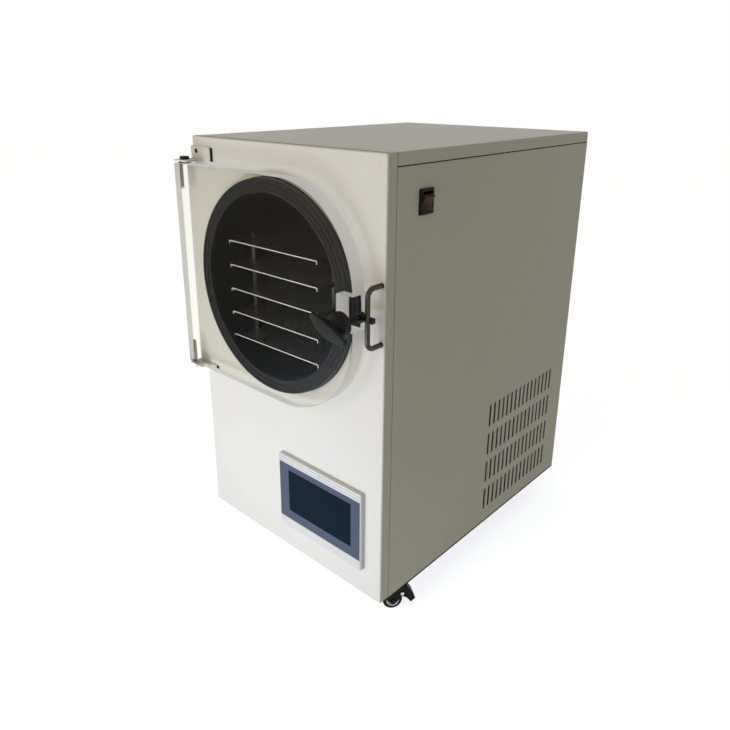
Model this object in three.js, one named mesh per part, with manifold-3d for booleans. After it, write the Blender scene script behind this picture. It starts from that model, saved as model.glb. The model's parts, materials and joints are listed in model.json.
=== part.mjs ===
// Laboratory freeze dryer: a folded steel cabinet on castors with a round vacuum chamber,
// a clear hinged door, a swing-bolt latch, a shelf rack and a refrigeration set in its base.
// X runs to the right, Y to the back and Z up. Every piece is placed from the middle of the
// front panel's bottom edge, and the last lines set the whole model on its own floor point.

import * as THREE from 'three';
import { mergeVertices } from 'three/addons/utils/BufferGeometryUtils.js';
import Module from 'manifold-3d';

const wasm = await Module();
wasm.setup();

// Clearances
const FIT = 0.3;                    // between two pieces that meet
const THROUGH = 5;                  // overrun of a cutter past the wall that it cuts

// Cabinet
const WIDTH = 450;
const DEPTH = 600;
const HEIGHT = 737;
const FRONT_SHEET = 2;
const SIDE_SHEET = 1.5;
const FRONT_FOLD = 20;              // depth of the front panel's returns
const FRONT_BEND = 3;               // outside radius of the front panel's folds
const SIDE_FOLD = 15;
const SIDE_BEND = 2;
const LID_SKIRT = 20;
const SEAM = 1.6;                   // open groove between the front panel and the panels behind it
const BACK_SHEET = 2;
const TRAY_SHEET = 2;
const TRAY_UPSTAND = 25;
const DECK_GAP = 13;                // between the deck and the chamber's jacket
const DECK_FOLD = 20;
const BEND_STEPS = 2;

// Vents in the side panels
const SLOT_WIDTH = 7;
const SLOT_LENGTH = 46.5;
const SLOT_PITCH = 15.4;
const SLOT_ROW_PITCH = 60.5;
const SLOTS_IN_ROW = 16;
const SLOT_ROWS = 4;
const SLOT_END_STEPS = 3;           // facets in a half-round end
const VENT_REAR = 54.4;             // from the cabinet's back to the last slot's edge
const VENT_BASE = 28.8;             // from the panel's bottom to the lowest row

// Vacuum chamber, along Y
const CHAMBER_DROP = 228;           // from the cabinet's top to the chamber's axis
const CHAMBER_BORE = 155;           // radius
const CHAMBER_WALL = 3;
const CHAMBER_BACK = 340;
const CHAMBER_SIDES = 64;
const FLANGE_LAP = 7.5;             // flange behind the front panel, past its opening
const FLANGE_THICK = 3;
const OPENING_GAP = 1.5;            // around the seal, in the front panel
const SEAL_WIDTH = 19;              // outside the chamber's wall
const SEAL_OVERHANG = 0.5;          // of the seal's lip inside the bore
const SEAL_ROUND = 1.5;
const SEAL_FACE = 2.1;              // rubber in front of the chamber's rim
const JACKET_LAP = 10;              // jacket past the flange
const COIL_TUBE = 4;
const COIL_TURNS = 4;
const COIL_START = 45;
const COIL_PITCH = 64;
const COIL_STEPS = 24;              // straight steps in one turn
const CRADLE_SHEET = 3;
const CRADLE_WIDTH = 320;
const CRADLE_HEIGHT = 84;
const CRADLE_FOOT = 24;
const CRADLE_FRONT_Y = 80;
const CRADLE_REAR_Y = 300;

// Shelf rack
const SHELF_COUNT = 5;
const SHELF_WIDTH = 212;
const SHELF_SHEET = 1.5;
const SHELF_LIP = 6;
const SHELF_RISE = 64;              // top shelf above the chamber's axis
const SHELF_PITCH = 42;
const SHELF_FRONT = -6;
const SHELF_LENGTH = 306;
const POST_RADIUS = 3;
const SPACER_RADIUS = 5;
const POST_X = 97;
const POST_INSET = 46;              // from a shelf's front or back edge to its posts
const RAIL_WIDTH = 12;
const RAIL_THICK = 5;

// Vacuum port
const PORT_BORE = 10;
const PORT_WALL = 2.2;
const PORT_FLANGE = 20;
const PORT_REACH = 40;              // behind the cabinet
const PORT_COLLAR = 14;             // length of the collar in the back panel

// Door
const DOOR_BACK = -13;
const DOOR_THICK = 27;
const DOOR_MARGIN = 26.5;           // from the door's right edge to the cabinet's
const DOOR_LAP = 7.2;               // door past the seal, at its top and bottom
const DOOR_CORNER = 157;            // radius of the two right corners
const DOOR_CHAMFER = 1.2;
const NOTCH_REACH = 34;             // from the bolt to the notch's end
const NOTCH_HEIGHT = 54.5;
const NOTCH_RISE = 4.4;              // notch centre above the chamber's centre

// Hinges
const PIN_INSET = 13;               // from the door's left edge
const PIN_RADIUS = 4;
const PIN_REACH = 40;               // into the door's edge
const PIN_HEAD = 8;
const PIN_HEAD_HIGH = 5;
const WASHER_RADIUS = 9;
const WASHER_THICK = 2.4;
const BRACKET_SHEET = 3;
const BRACKET_WIDTH = 55;
const BRACKET_HIGH = 24;
const BRACKET_REACH = 42;
const EAR_WIDTH = 36;
const BRACKET_CORNER = 6;
const SCREW_RADIUS = 3.8;
const SCREW_HIGH = 15.6;            // above the ear
const SCREW_ASIDE = 2;              // beside the pin's axis

// Latch
const ROD_INSET = 7;                // from the cabinet's side
const ROD_Y = -30;
const ROD_RADIUS = 4;
const ROD_HALF = 45;                // half the distance between the legs
const ROD_BEND = 12;
const ROD_TAIL = 12;                // threaded end behind the front panel's face
const ROD_STEPS = 4;                // facets in a bend
const LATCH_DROP = 0.5;             // below the chamber's axis
const HOOK_DROP = 1;                // of the hook and its bolt, below the rod's middle
const HOOK_HIGH = 8;
const HOOK_THICK = 5;
const HOOK_LIP = 4.2;               // thickness of the lip beside the rod
const BOSS_RADIUS = 8;
const BOSS_LONG = 9;
const ARM_REACH = 18;               // from the rod to the bolt
const BOLT_RADIUS = 5;
const BOLT_LENGTH = 50;             // in front of the rod's axis
const KNOB_FRONT = -97.5;
const KNOB_BACK = -64;
const HUB_RADIUS = 19.5;
const WAIST_RADIUS = 11;
const WING_LENGTH = 71.5;
const WING_MIDDLE = 21;
const WING_END = 8;
const WING_CROWN = 5;               // how far the wing's ends lie behind its middle
const WING_EDGE = 6;                // thickness at the ends
const WING_TILT = 23;               // degrees, right end down
const WING_STATIONS = 10;

// Operator screen
const SCREEN_WIDTH = 200.6;
const SCREEN_MARGIN = 36.4;         // from its right edge to the cabinet's
const SCREEN_LOW = 51;
const SCREEN_HIGH = 198.5;
const SCREEN_PROUD = 9;
const GLASS_SIDE = 2.3;             // frame left of and right of the glass
const GLASS_TOP = 15;
const GLASS_BASE = 19.5;
const GLASS_THICK = 2.6;
const GLASS_SUNK = 0.6;
const GLASS_LEDGE = 5;
const GROOVE_WIDTH = 2;
const GROOVE_DEEP = 1;
const GROOVE_DROP = 6.5;
const BODY_INSET = 6;
const BODY_DEEP = 38;

// Rocker switch, on the right side
const SWITCH_Y = 85.6;
const SWITCH_DROP = 73.5;           // from the cabinet's top
const SWITCH_WIDTH = 31.8;
const SWITCH_HIGH = 38;
const SWITCH_PROUD = 4;
const SWITCH_RIM = 4.3;
const SWITCH_DEEP = 25;
const ROCKER_SWING = 24;            // degrees from one side to the other
const ROCKER_PIVOT = 12;            // pivot below the frame's face
const ROCKER_TIP = 16;
const ROCKER_HALF = 11;
const ROCKER_DISH = 3.5;
const ROCKER_TAIL = 4;

// Castors
const FLOOR = -54;
const WHEEL_RADIUS = 17.5;
const WHEEL_WIDTH = 16;
const TRAIL = 15;
const CASTOR_INSET = 31;            // from the cabinet's sides
const CASTOR_FROM_END = 46;
const CASTOR_PLATE = 42;
const CASTOR_SHEET = 2;
const RACE_RADIUS = 14;
const RACE_HIGH = 3.6;
const FORK_SHEET = 2;
const FORK_GAP = 1;                 // beside the wheel
const AXLE_RADIUS = 3;
const KING_RADIUS = 4;
const PEDAL_PIVOT_Y = 31;
const PEDAL_PIVOT_Z = -22;
const PEDAL_PIN = 2.5;

// Refrigeration, fan and electrics
const COMPRESSOR_X = -75;
const COMPRESSOR_RADIUS = 72;
const COMPRESSOR_HIGH = 170;
const COMPRESSOR_FOOT = 18;
const MACHINES_FROM_BACK = 170;     // fan and compressor axes, from the cabinet's back
const FAN_TIP_GAP = 4;
const FAN_BLADES = 5;
const FAN_HUB = 24;
const FAN_HUB_LONG = 22;
const BLADE_SHEET = 2;
const BLADE_PITCH = 34;             // degrees
const BLADE_ROOT = 26;              // width at the hub
const BLADE_WIDTH = 52;
const BLADE_CORNER = 14;
const FAN_SHAFT = 4;
const SHROUD_BASE = 28;             // above the panels' bottom edge
const SHROUD_HEADROOM = 38;         // under the deck
const SHROUD_WALL = 21;             // beside the fan's tunnel
const SHROUD_DEEP = 40;
const CONDENSER_DEEP = 30;
const CONDENSER_GAP = 14;           // from the side panel to the condenser
const FIN_COUNT = 24;
const FIN_THICK = 1.5;
const MOTOR_RADIUS = 34;
const MOTOR_LENGTH = 50;
const MOTOR_ARM = 12;               // width of its three arms
const BOX_SIZE = [150, 150, 90];    // electrics box
const BOX_X = 120;
const BOX_BACK_GAP = 12;            // to the back panel
const INLET_X = -150;
const INLET_Z = 90;
const INLET_WIDTH = 50;
const INLET_HIGH = 27;

// Values worked out from the driving dimensions
const HALF = WIDTH / 2;
const SIDE_START = FRONT_FOLD + SEAM;
const SIDE_DEPTH = DEPTH - SIDE_START;
const SIDE_MIDDLE = (DEPTH + SIDE_START) / 2;
const SIDE_TOP = HEIGHT - LID_SKIRT - FIT;
const BACK_FACE = DEPTH - SIDE_SHEET - FIT;
const TRAY_BOTTOM = -(TRAY_SHEET + FIT);
const CHAMBER_Z = HEIGHT - CHAMBER_DROP;
const CHAMBER_OUTER = CHAMBER_BORE + CHAMBER_WALL;
const SEAL_RADIUS = CHAMBER_OUTER + SEAL_WIDTH;
const SEAL_LIP = CHAMBER_BORE - SEAL_OVERHANG;
const OPENING_RADIUS = SEAL_RADIUS + OPENING_GAP;
const FLANGE_RADIUS = OPENING_RADIUS + FLANGE_LAP;
const JACKET_RADIUS = FLANGE_RADIUS + JACKET_LAP;
const SHELF_TOP_Z = CHAMBER_Z + SHELF_RISE;
const DECK_TOP = CHAMBER_Z - JACKET_RADIUS - DECK_GAP;
const ROD_X = HALF - ROD_INSET;
const BOLT_X = ROD_X - ARM_REACH;
const LATCH_Z = CHAMBER_Z - LATCH_DROP;
const BOLT_Z = LATCH_Z - HOOK_DROP;
const DOOR_LEFT = -HALF;
const DOOR_RIGHT = HALF - DOOR_MARGIN;
const DOOR_HALF = SEAL_RADIUS + DOOR_LAP;
const NOTCH_LEFT = BOLT_X - NOTCH_REACH;
const PIN_X = DOOR_LEFT + PIN_INSET;
const DOOR_FRONT = DOOR_BACK - DOOR_THICK;
const DOOR_MIDDLE = (DOOR_BACK + DOOR_FRONT) / 2;
const SEAL_FRONT = DOOR_BACK + FIT;
const RIM_FRONT = SEAL_FRONT + SEAL_FACE + FIT;
const FLANGE_FRONT = FRONT_SHEET + FIT;
const COIL_RADIUS = (CHAMBER_OUTER + FIT + COIL_TUBE) / Math.cos(Math.PI / COIL_STEPS);
const JACKET_BORE = (COIL_RADIUS + COIL_TUBE + FIT) / Math.cos(Math.PI / CHAMBER_SIDES);
const SCREEN_RIGHT = HALF - SCREEN_MARGIN;
const SCREEN_LEFT = SCREEN_RIGHT - SCREEN_WIDTH;
const SWITCH_Z = HEIGHT - SWITCH_DROP;
const CASTOR_X = HALF - CASTOR_INSET;
const CASTOR_FRONT_Y = CASTOR_FROM_END;
const CASTOR_REAR_Y = DEPTH - CASTOR_FROM_END;
const WHEEL_Z = FLOOR + WHEEL_RADIUS;
const MACHINES_Y = DEPTH - MACHINES_FROM_BACK;
const SHROUD_SIDE = DECK_TOP - DECK_FOLD - SHROUD_HEADROOM - SHROUD_BASE;
const FAN_Z = SHROUD_BASE + SHROUD_SIDE / 2;
const FAN_RADIUS = SHROUD_SIDE / 2 - SHROUD_WALL - FAN_TIP_GAP;
const BOX_Y = BACK_FACE - BACK_SHEET - BOX_BACK_GAP - BOX_SIZE[1] / 2;
const DEGREE = Math.PI / 180;

// Finishes
const FRONT_PAINT = { color: 0xdedcd6, roughness: 0.45, metalness: 0.1 };
const SIDE_PAINT = { color: 0xc9c7bd, roughness: 0.5, metalness: 0.1 };
const STAINLESS = { color: 0xb9babb, roughness: 0.3, metalness: 1 };
const GALVANISED = { color: 0x9da1a3, roughness: 0.5, metalness: 0.9 };
const BLACK_PLASTIC = { color: 0x161618, roughness: 0.45, metalness: 0 };
const BLACK_RUBBER = { color: 0x1d1d1f, roughness: 0.8, metalness: 0 };
const FOAM = { color: 0x2a2b2c, roughness: 0.95, metalness: 0 };
const COPPER = { color: 0xb06a43, roughness: 0.35, metalness: 1 };
const ACRYLIC = { color: 0xe9efe9, roughness: 0.05, metalness: 0, transparent: true, opacity: 0.35 };
const DARK_METAL = { color: 0x4a463d, roughness: 0.4, metalness: 0.8 };
const SILVER_PLASTIC = { color: 0xa9abad, roughness: 0.4, metalness: 0.3 };
const SCREEN_GLASS = { color: 0x14263a, roughness: 0.1, metalness: 0 };
const GREY_PLASTIC = { color: 0x9a9a98, roughness: 0.5, metalness: 0 };
const DARK_RED = { color: 0x4a2826, roughness: 0.35, metalness: 0 };
const BLACK_ENAMEL = { color: 0x1b1c1e, roughness: 0.35, metalness: 0.2 };

// ---------------------------------------------------------------------------
// Shape making

// Turns a closed three.js geometry into a solid, with its faces pointing out.
function solid(geometry) {
  const bare = geometry.clone();
  bare.deleteAttribute('normal');
  bare.deleteAttribute('uv');
  const welded = mergeVertices(bare, 1e-3);
  const points = welded.attributes.position;
  const faces = [];
  const corner = [new THREE.Vector3(), new THREE.Vector3(), new THREE.Vector3()];
  let volume = 0;
  for (let i = 0; i < welded.index.count; i += 3) {
    const face = [0, 1, 2].map((step) => welded.index.getX(i + step));
    if (new Set(face).size < 3) continue;
    face.forEach((vertex, step) => corner[step].fromBufferAttribute(points, vertex));
    volume += corner[0].dot(corner[1].cross(corner[2]));
    faces.push(face);
  }
  if (volume < 0) faces.forEach((face) => face.reverse());
  const triVerts = Uint32Array.from(faces.flat());
  return new wasm.Manifold(new wasm.Mesh({ numProp: 3, vertProperties: points.array, triVerts }));
}

// A named piece from a solid, with its finish and its place.
function piece(name, shape, finish, place = [0, 0, 0]) {
  const { vertProperties, triVerts } = shape.getMesh();
  const geometry = new THREE.BufferGeometry();
  geometry.setAttribute('position', new THREE.BufferAttribute(vertProperties, 3));
  geometry.setIndex(new THREE.BufferAttribute(triVerts, 1));
  geometry.computeVertexNormals();
  const mesh = new THREE.Mesh(geometry, new THREE.MeshStandardMaterial(finish));
  mesh.name = name;
  mesh.position.set(...place);
  return mesh;
}

function join(...shapes) {
  return shapes.reduce((whole, shape) => whole.add(shape));
}

function slab([x0, x1], [y0, y1], [z0, z1]) {
  const box = new THREE.BoxGeometry(x1 - x0, y1 - y0, z1 - z0);
  return solid(box.translate((x0 + x1) / 2, (y0 + y1) / 2, (z0 + z1) / 2));
}

// Turns a shape made around Y so that its axis lies along the named one.
function aim(geometry, axis) {
  if (axis === 'x') geometry.rotateZ(-Math.PI / 2);
  if (axis === 'z') geometry.rotateX(Math.PI / 2);
  return geometry;
}

function round(axis, radius, [from, to], centre = [0, 0, 0], sides = 20) {
  const bar = new THREE.CylinderGeometry(radius, radius, to - from, sides);
  bar.translate(0, (from + to) / 2, 0);
  return solid(aim(bar, axis).translate(...centre));
}

// A turned shape from a list of [radius, place along the axis].
function turned(profile, axis = 'y', sides = 32) {
  const points = profile.map(([radius, along]) => new THREE.Vector2(radius, along));
  if (points[0].x > 0) points.push(points[0].clone());
  return solid(aim(new THREE.LatheGeometry(points, sides), axis));
}

// An outline drawn in the two other axes and extruded along the named one.
function prism(outline, [from, to], axis = 'z', curveSegments = 3, chamfer = 0) {
  const bar = new THREE.ExtrudeGeometry(outline, {
    depth: to - from - 2 * chamfer,
    curveSegments,
    bevelEnabled: chamfer > 0,
    bevelThickness: chamfer,
    bevelSize: chamfer,
    bevelOffset: -chamfer,
    bevelSegments: 1,
  });
  bar.translate(0, 0, chamfer);
  if (axis === 'z') bar.translate(0, 0, from);
  if (axis === 'y') bar.rotateX(Math.PI / 2).translate(0, to, 0);
  if (axis === 'x') bar.rotateX(Math.PI / 2).rotateZ(Math.PI / 2).translate(from, 0, 0);
  return solid(bar);
}

function polygon(points) {
  return new THREE.Shape(points.map(([u, v]) => new THREE.Vector2(u, v)));
}

// Rings of equal count, skinned and closed at both ends.
function loft(rings) {
  const count = rings[0].length;
  const faces = [];
  for (let ring = 0; ring < rings.length - 1; ring += 1) {
    for (let i = 0; i < count; i += 1) {
      const a = ring * count + i;
      const b = ring * count + ((i + 1) % count);
      faces.push(a, b, b + count, a, b + count, a + count);
    }
  }
  const last = (rings.length - 1) * count;
  for (let i = 1; i < count - 1; i += 1) {
    faces.push(0, i + 1, i, last, last + i, last + i + 1);
  }
  const geometry = new THREE.BufferGeometry();
  geometry.setAttribute('position', new THREE.Float32BufferAttribute(rings.flat(2), 3));
  geometry.setIndex(faces);
  return solid(geometry);
}

// A rectangle with round corners in X and Z, at one depth along Y.
function rectangleRing(width, height, radius, y) {
  const ring = [];
  const corners = [[1, 1], [-1, 1], [-1, -1], [1, -1]];
  corners.forEach(([right, up], quarter) => {
    for (let i = 0; i <= BEND_STEPS; i += 1) {
      const angle = (quarter + i / BEND_STEPS) * 90 * DEGREE;
      const x = right * (width / 2 - radius) + radius * Math.cos(angle);
      const z = up * (height / 2 - radius) + radius * Math.sin(angle);
      ring.push([x, y, z]);
    }
  });
  return ring;
}

// A block whose front face, at y 0, has rounded edges.
function softBlock(width, height, depth, bend) {
  const rings = [];
  for (let i = 0; i <= BEND_STEPS; i += 1) {
    const angle = (i / BEND_STEPS) * 90 * DEGREE;
    const inset = bend * (1 - Math.sin(angle));
    const y = bend * (1 - Math.cos(angle));
    rings.push(rectangleRing(width - 2 * inset, height - 2 * inset, bend - inset, y));
  }
  rings.push(rectangleRing(width, height, bend, depth));
  return loft(rings);
}

// A folded sheet: a face at y 0 with four walls behind it.
function pan(width, height, depth, sheet, bend) {
  const hollow = softBlock(width - 2 * sheet, height - 2 * sheet, depth, bend - sheet);
  return softBlock(width, height, depth, bend).subtract(hollow.translate([0, sheet, 0]));
}

// A round bar along a path of points in one plane of constant x.
function bentBar(path, radius, sides = 12) {
  const rings = path.map(([y, z], i) => {
    const before = path[Math.max(i - 1, 0)];
    const after = path[Math.min(i + 1, path.length - 1)];
    const along = Math.atan2(after[1] - before[1], after[0] - before[0]);
    const ring = [];
    for (let side = 0; side < sides; side += 1) {
      const angle = (side / sides) * 360 * DEGREE;
      const out = radius * Math.cos(angle);
      ring.push([radius * Math.sin(angle), y - out * Math.sin(along), z + out * Math.cos(along)]);
    }
    return ring;
  });
  return loft(rings);
}

// ---------------------------------------------------------------------------
// Cabinet

function frontPanel() {
  const y = [-THROUGH, FRONT_SHEET + THROUGH];
  const opening = round('y', OPENING_RADIUS, y, [0, 0, CHAMBER_Z - HEIGHT / 2], CHAMBER_SIDES);
  let panel = pan(WIDTH, HEIGHT, FRONT_FOLD, FRONT_SHEET, FRONT_BEND).subtract(opening);
  panel = panel.subtract(screenBodyBlock(BODY_INSET - FIT).translate([0, 0, -HEIGHT / 2]));
  [-ROD_HALF, ROD_HALF].forEach((step) => {
    const centre = [ROD_X, 0, LATCH_Z + step - HEIGHT / 2];
    panel = panel.subtract(round('y', ROD_RADIUS + FIT, y, centre, 12));
  });
  return piece('front_panel', panel, FRONT_PAINT, [0, 0, HEIGHT / 2]);
}

function topCover() {
  const cover = pan(WIDTH, SIDE_DEPTH, LID_SKIRT, SIDE_SHEET, FRONT_BEND);
  const mesh = piece('top_cover', cover, SIDE_PAINT, [0, SIDE_MIDDLE, HEIGHT]);
  mesh.rotation.x = -Math.PI / 2;
  return mesh;
}

// One vertical slot with half-round ends, standing on z.
function slotCutter(x, z) {
  const radius = SLOT_WIDTH / 2;
  const points = [];
  [[z + SLOT_LENGTH - radius, 0], [z + radius, 180]].forEach(([centre, start]) => {
    for (let i = 0; i <= SLOT_END_STEPS; i += 1) {
      const angle = (start + (i * 180) / SLOT_END_STEPS) * DEGREE;
      points.push([x + radius * Math.cos(angle), centre + radius * Math.sin(angle)]);
    }
  });
  return prism(polygon(points), [-THROUGH, SIDE_SHEET + THROUGH], 'y');
}

// A side panel with its vents, seen from outside; toBack is +1 where its back lies at +x.
function sidePanelShape(toBack) {
  let panel = pan(SIDE_DEPTH, SIDE_TOP, SIDE_FOLD, SIDE_SHEET, SIDE_BEND);
  const lastSlot = SIDE_DEPTH / 2 - VENT_REAR - SLOT_WIDTH / 2;
  for (let row = 0; row < SLOT_ROWS; row += 1) {
    const z = VENT_BASE + row * SLOT_ROW_PITCH - SIDE_TOP / 2;
    const slots = [];
    for (let i = 0; i < SLOTS_IN_ROW; i += 1) {
      slots.push(slotCutter(toBack * (lastSlot - i * SLOT_PITCH), z));
    }
    panel = panel.subtract(join(...slots));
  }
  return panel;
}

function sidePanels() {
  const inside = [-SIDE_SHEET - THROUGH, SIDE_SHEET + THROUGH];
  const across = SWITCH_Y - SIDE_MIDDLE;
  const half = SWITCH_WIDTH / 2 - SWITCH_RIM / 2 + FIT;
  const high = SWITCH_HIGH / 2 - SWITCH_RIM / 2 + FIT;
  const middle = SWITCH_Z - SIDE_TOP / 2;
  const cutout = slab([across - half, across + half], inside, [middle - high, middle + high]);
  const right = sidePanelShape(1).subtract(cutout);
  const rightMesh = piece('right_side_panel', right, SIDE_PAINT, [HALF, SIDE_MIDDLE, SIDE_TOP / 2]);
  rightMesh.rotation.z = Math.PI / 2;
  const left = sidePanelShape(-1);
  const leftMesh = piece('left_side_panel', left, SIDE_PAINT, [-HALF, SIDE_MIDDLE, SIDE_TOP / 2]);
  leftMesh.rotation.z = -Math.PI / 2;
  return [rightMesh, leftMesh];
}

function backPanel() {
  const x = HALF - SIDE_BEND - FIT;
  const y = [BACK_FACE - BACK_SHEET, BACK_FACE];
  const cut = [BACK_FACE - BACK_SHEET - THROUGH, BACK_FACE + THROUGH];
  let panel = slab([-x, x], y, [SIDE_SHEET + FIT, SIDE_TOP - SIDE_SHEET - FIT]);
  panel = panel.subtract(round('y', PORT_FLANGE + FIT, cut, [0, 0, CHAMBER_Z], 20));
  const width = INLET_HIGH / 2 + FIT;
  const high = INLET_HIGH / 2 - 3 + FIT;
  const inlet = slab([INLET_X - width, INLET_X + width], cut, [INLET_Z - high, INLET_Z + high]);
  return piece('back_panel', panel.subtract(inlet), SIDE_PAINT);
}

// The floor sheet closes the cabinet, with an upstand that stands between the side folds.
function baseTray() {
  const across = WIDTH - 2 * (SIDE_FOLD + FIT);
  const along = SIDE_DEPTH - 2 * (SIDE_FOLD + FIT);
  const upstand = pan(across, along, TRAY_UPSTAND, TRAY_SHEET, TRAY_SHEET + 1);
  const x = HALF - SIDE_SHEET;
  const z = SIDE_DEPTH / 2 - FIT;
  const floor = slab([-x, x], [0, TRAY_SHEET], [-z, z]);
  const mesh = piece('base_tray', upstand.add(floor), GALVANISED, [0, SIDE_MIDDLE, TRAY_BOTTOM]);
  mesh.rotation.x = Math.PI / 2;
  return mesh;
}

function midDeck() {
  const across = WIDTH - 2 * (SIDE_SHEET + FIT);
  const front = SIDE_START + SIDE_SHEET + FIT;
  const back = BACK_FACE - BACK_SHEET - FIT;
  const deck = pan(across, back - front, DECK_FOLD, TRAY_SHEET, TRAY_SHEET + 1);
  const mesh = piece('mid_deck', deck, GALVANISED, [0, (front + back) / 2, DECK_TOP]);
  mesh.rotation.x = -Math.PI / 2;
  return mesh;
}

// A folded saddle: an upright plate cut to the jacket's curve, on a foot.
function cradle(name, y) {
  const base = DECK_TOP + FIT;
  const half = CRADLE_WIDTH / 2;
  const radius = JACKET_RADIUS + FIT;
  const foot = slab([-half, half], [0, CRADLE_FOOT], [base, base + CRADLE_SHEET]);
  const upright = slab([-half, half], [0, CRADLE_SHEET], [base, base + CRADLE_HEIGHT]);
  const cut = round('y', radius, [-THROUGH, CRADLE_FOOT + THROUGH], [0, 0, CHAMBER_Z], CHAMBER_SIDES);
  return piece(name, foot.add(upright).subtract(cut), GALVANISED, [0, y, 0]);
}

// ---------------------------------------------------------------------------
// Chamber

function chamberVessel() {
  const back = CHAMBER_BACK + CHAMBER_WALL;
  const hole = PORT_BORE + PORT_WALL + FIT;
  const profile = [
    [CHAMBER_BORE, RIM_FRONT], [SEAL_RADIUS, RIM_FRONT], [SEAL_RADIUS, FLANGE_FRONT],
    [FLANGE_RADIUS, FLANGE_FRONT], [FLANGE_RADIUS, FLANGE_FRONT + FLANGE_THICK],
    [CHAMBER_OUTER, FLANGE_FRONT + FLANGE_THICK], [CHAMBER_OUTER, back], [hole, back],
    [hole, CHAMBER_BACK], [CHAMBER_BORE, CHAMBER_BACK],
  ];
  return piece('chamber_vessel', turned(profile, 'y', CHAMBER_SIDES), STAINLESS, [0, 0, CHAMBER_Z]);
}

// A flat ring of rubber on the chamber's front ring, which the door is pressed against.
function doorSeal() {
  const back = RIM_FRONT - FIT;
  const profile = [
    [SEAL_LIP, back], [SEAL_LIP, SEAL_FRONT + SEAL_ROUND / 2], [SEAL_LIP + 1, SEAL_FRONT],
    [SEAL_RADIUS - SEAL_ROUND, SEAL_FRONT], [SEAL_RADIUS, SEAL_FRONT + SEAL_ROUND],
    [SEAL_RADIUS, back],
  ];
  return piece('door_seal', turned(profile, 'y', CHAMBER_SIDES), BLACK_RUBBER, [0, 0, CHAMBER_Z]);
}

function insulationJacket() {
  const front = FLANGE_FRONT + FLANGE_THICK + FIT;
  const inside = CHAMBER_BACK + CHAMBER_WALL + FIT;
  const back = inside + JACKET_RADIUS - JACKET_BORE;
  const hole = PORT_FLANGE + FIT;
  const profile = [
    [JACKET_BORE, front], [JACKET_RADIUS, front], [JACKET_RADIUS, back],
    [hole, back], [hole, inside], [JACKET_BORE, inside],
  ];
  return piece('insulation_jacket', turned(profile, 'y', CHAMBER_SIDES), FOAM, [0, 0, CHAMBER_Z]);
}

class Helix extends THREE.Curve {
  getPoint(t, target = new THREE.Vector3()) {
    const angle = t * COIL_TURNS * 360 * DEGREE;
    const y = COIL_START + t * COIL_TURNS * COIL_PITCH;
    return target.set(COIL_RADIUS * Math.cos(angle), y, COIL_RADIUS * Math.sin(angle));
  }
}

function evaporatorCoil() {
  const section = polygon([0, 1, 2, 3, 4, 5].map((side) => {
    const angle = side * 60 * DEGREE;
    return [COIL_TUBE * Math.cos(angle) * 0.94, COIL_TUBE * Math.sin(angle) * 0.94];
  }));
  const tube = new THREE.ExtrudeGeometry(section, {
    steps: COIL_TURNS * COIL_STEPS,
    extrudePath: new Helix(),
  });
  return piece('evaporator_coil', solid(tube), COPPER, [0, 0, CHAMBER_Z]);
}

// A sheet with its two ends turned down, and four holes for the posts.
function shelf(number) {
  const half = SHELF_WIDTH / 2;
  const inner = half - SHELF_SHEET;
  const outline = polygon([
    [-half, -SHELF_LIP], [-inner, -SHELF_LIP], [-inner, -SHELF_SHEET], [inner, -SHELF_SHEET],
    [inner, -SHELF_LIP], [half, -SHELF_LIP], [half, -0.6], [half - 0.6, 0],
    [0.6 - half, 0], [-half, -0.6],
  ]);
  let sheet = prism(outline, [0, SHELF_LENGTH], 'y');
  postPlaces().forEach(([x, y]) => {
    const centre = [x, y - SHELF_FRONT, 0];
    sheet = sheet.subtract(round('z', POST_RADIUS + FIT, [-SHELF_LIP, THROUGH], centre, 8));
  });
  const z = SHELF_TOP_Z - (number - 1) * SHELF_PITCH;
  return piece(`shelf_${number}`, sheet, STAINLESS, [0, SHELF_FRONT, z]);
}

function postPlaces() {
  const near = SHELF_FRONT + POST_INSET;
  const far = SHELF_FRONT + SHELF_LENGTH - POST_INSET;
  return [[-POST_X, near], [POST_X, near], [-POST_X, far], [POST_X, far]];
}

// Four posts with a spacer under every shelf, on two rails that lie on the chamber's wall.
function shelfRack() {
  const edge = POST_X + RAIL_WIDTH / 2;
  const wall = CHAMBER_BORE * Math.cos(Math.PI / CHAMBER_SIDES) - FIT;
  const railBottom = CHAMBER_Z - Math.sqrt(wall ** 2 - edge ** 2);
  const railTop = railBottom + RAIL_THICK;
  const lowest = SHELF_TOP_Z - (SHELF_COUNT - 1) * SHELF_PITCH;
  const profile = [[0, railBottom + 1], [SPACER_RADIUS, railBottom + 1]];
  for (let i = 0; i < SHELF_COUNT; i += 1) {
    const top = lowest + i * SHELF_PITCH;
    profile.push([SPACER_RADIUS, top - SHELF_SHEET - FIT], [POST_RADIUS, top - SHELF_SHEET - FIT]);
    profile.push([POST_RADIUS, top + FIT]);
    if (i < SHELF_COUNT - 1) profile.push([SPACER_RADIUS, top + FIT]);
  }
  profile.push([POST_RADIUS, SHELF_TOP_Z + 6], [0, SHELF_TOP_Z + 6]);
  const near = SHELF_FRONT + POST_INSET;
  const far = SHELF_FRONT + SHELF_LENGTH - POST_INSET;
  const half = RAIL_WIDTH / 2;
  let rack = slab([-POST_X, POST_X], [near - half, near + half], [railBottom, railTop]);
  rack = rack.add(slab([-POST_X, POST_X], [far - half, far + half], [railBottom, railTop]));
  [-POST_X, POST_X].forEach((x) => {
    const rail = slab([x - half, x + half], [near - 15, far + 15], [railBottom, railTop]);
    rack = rack.add(rail);
  });
  postPlaces().forEach(([x, y]) => {
    rack = rack.add(turned(profile, 'z', 6).translate([x, y, 0]));
  });
  return piece('shelf_rack', rack, STAINLESS);
}

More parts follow.
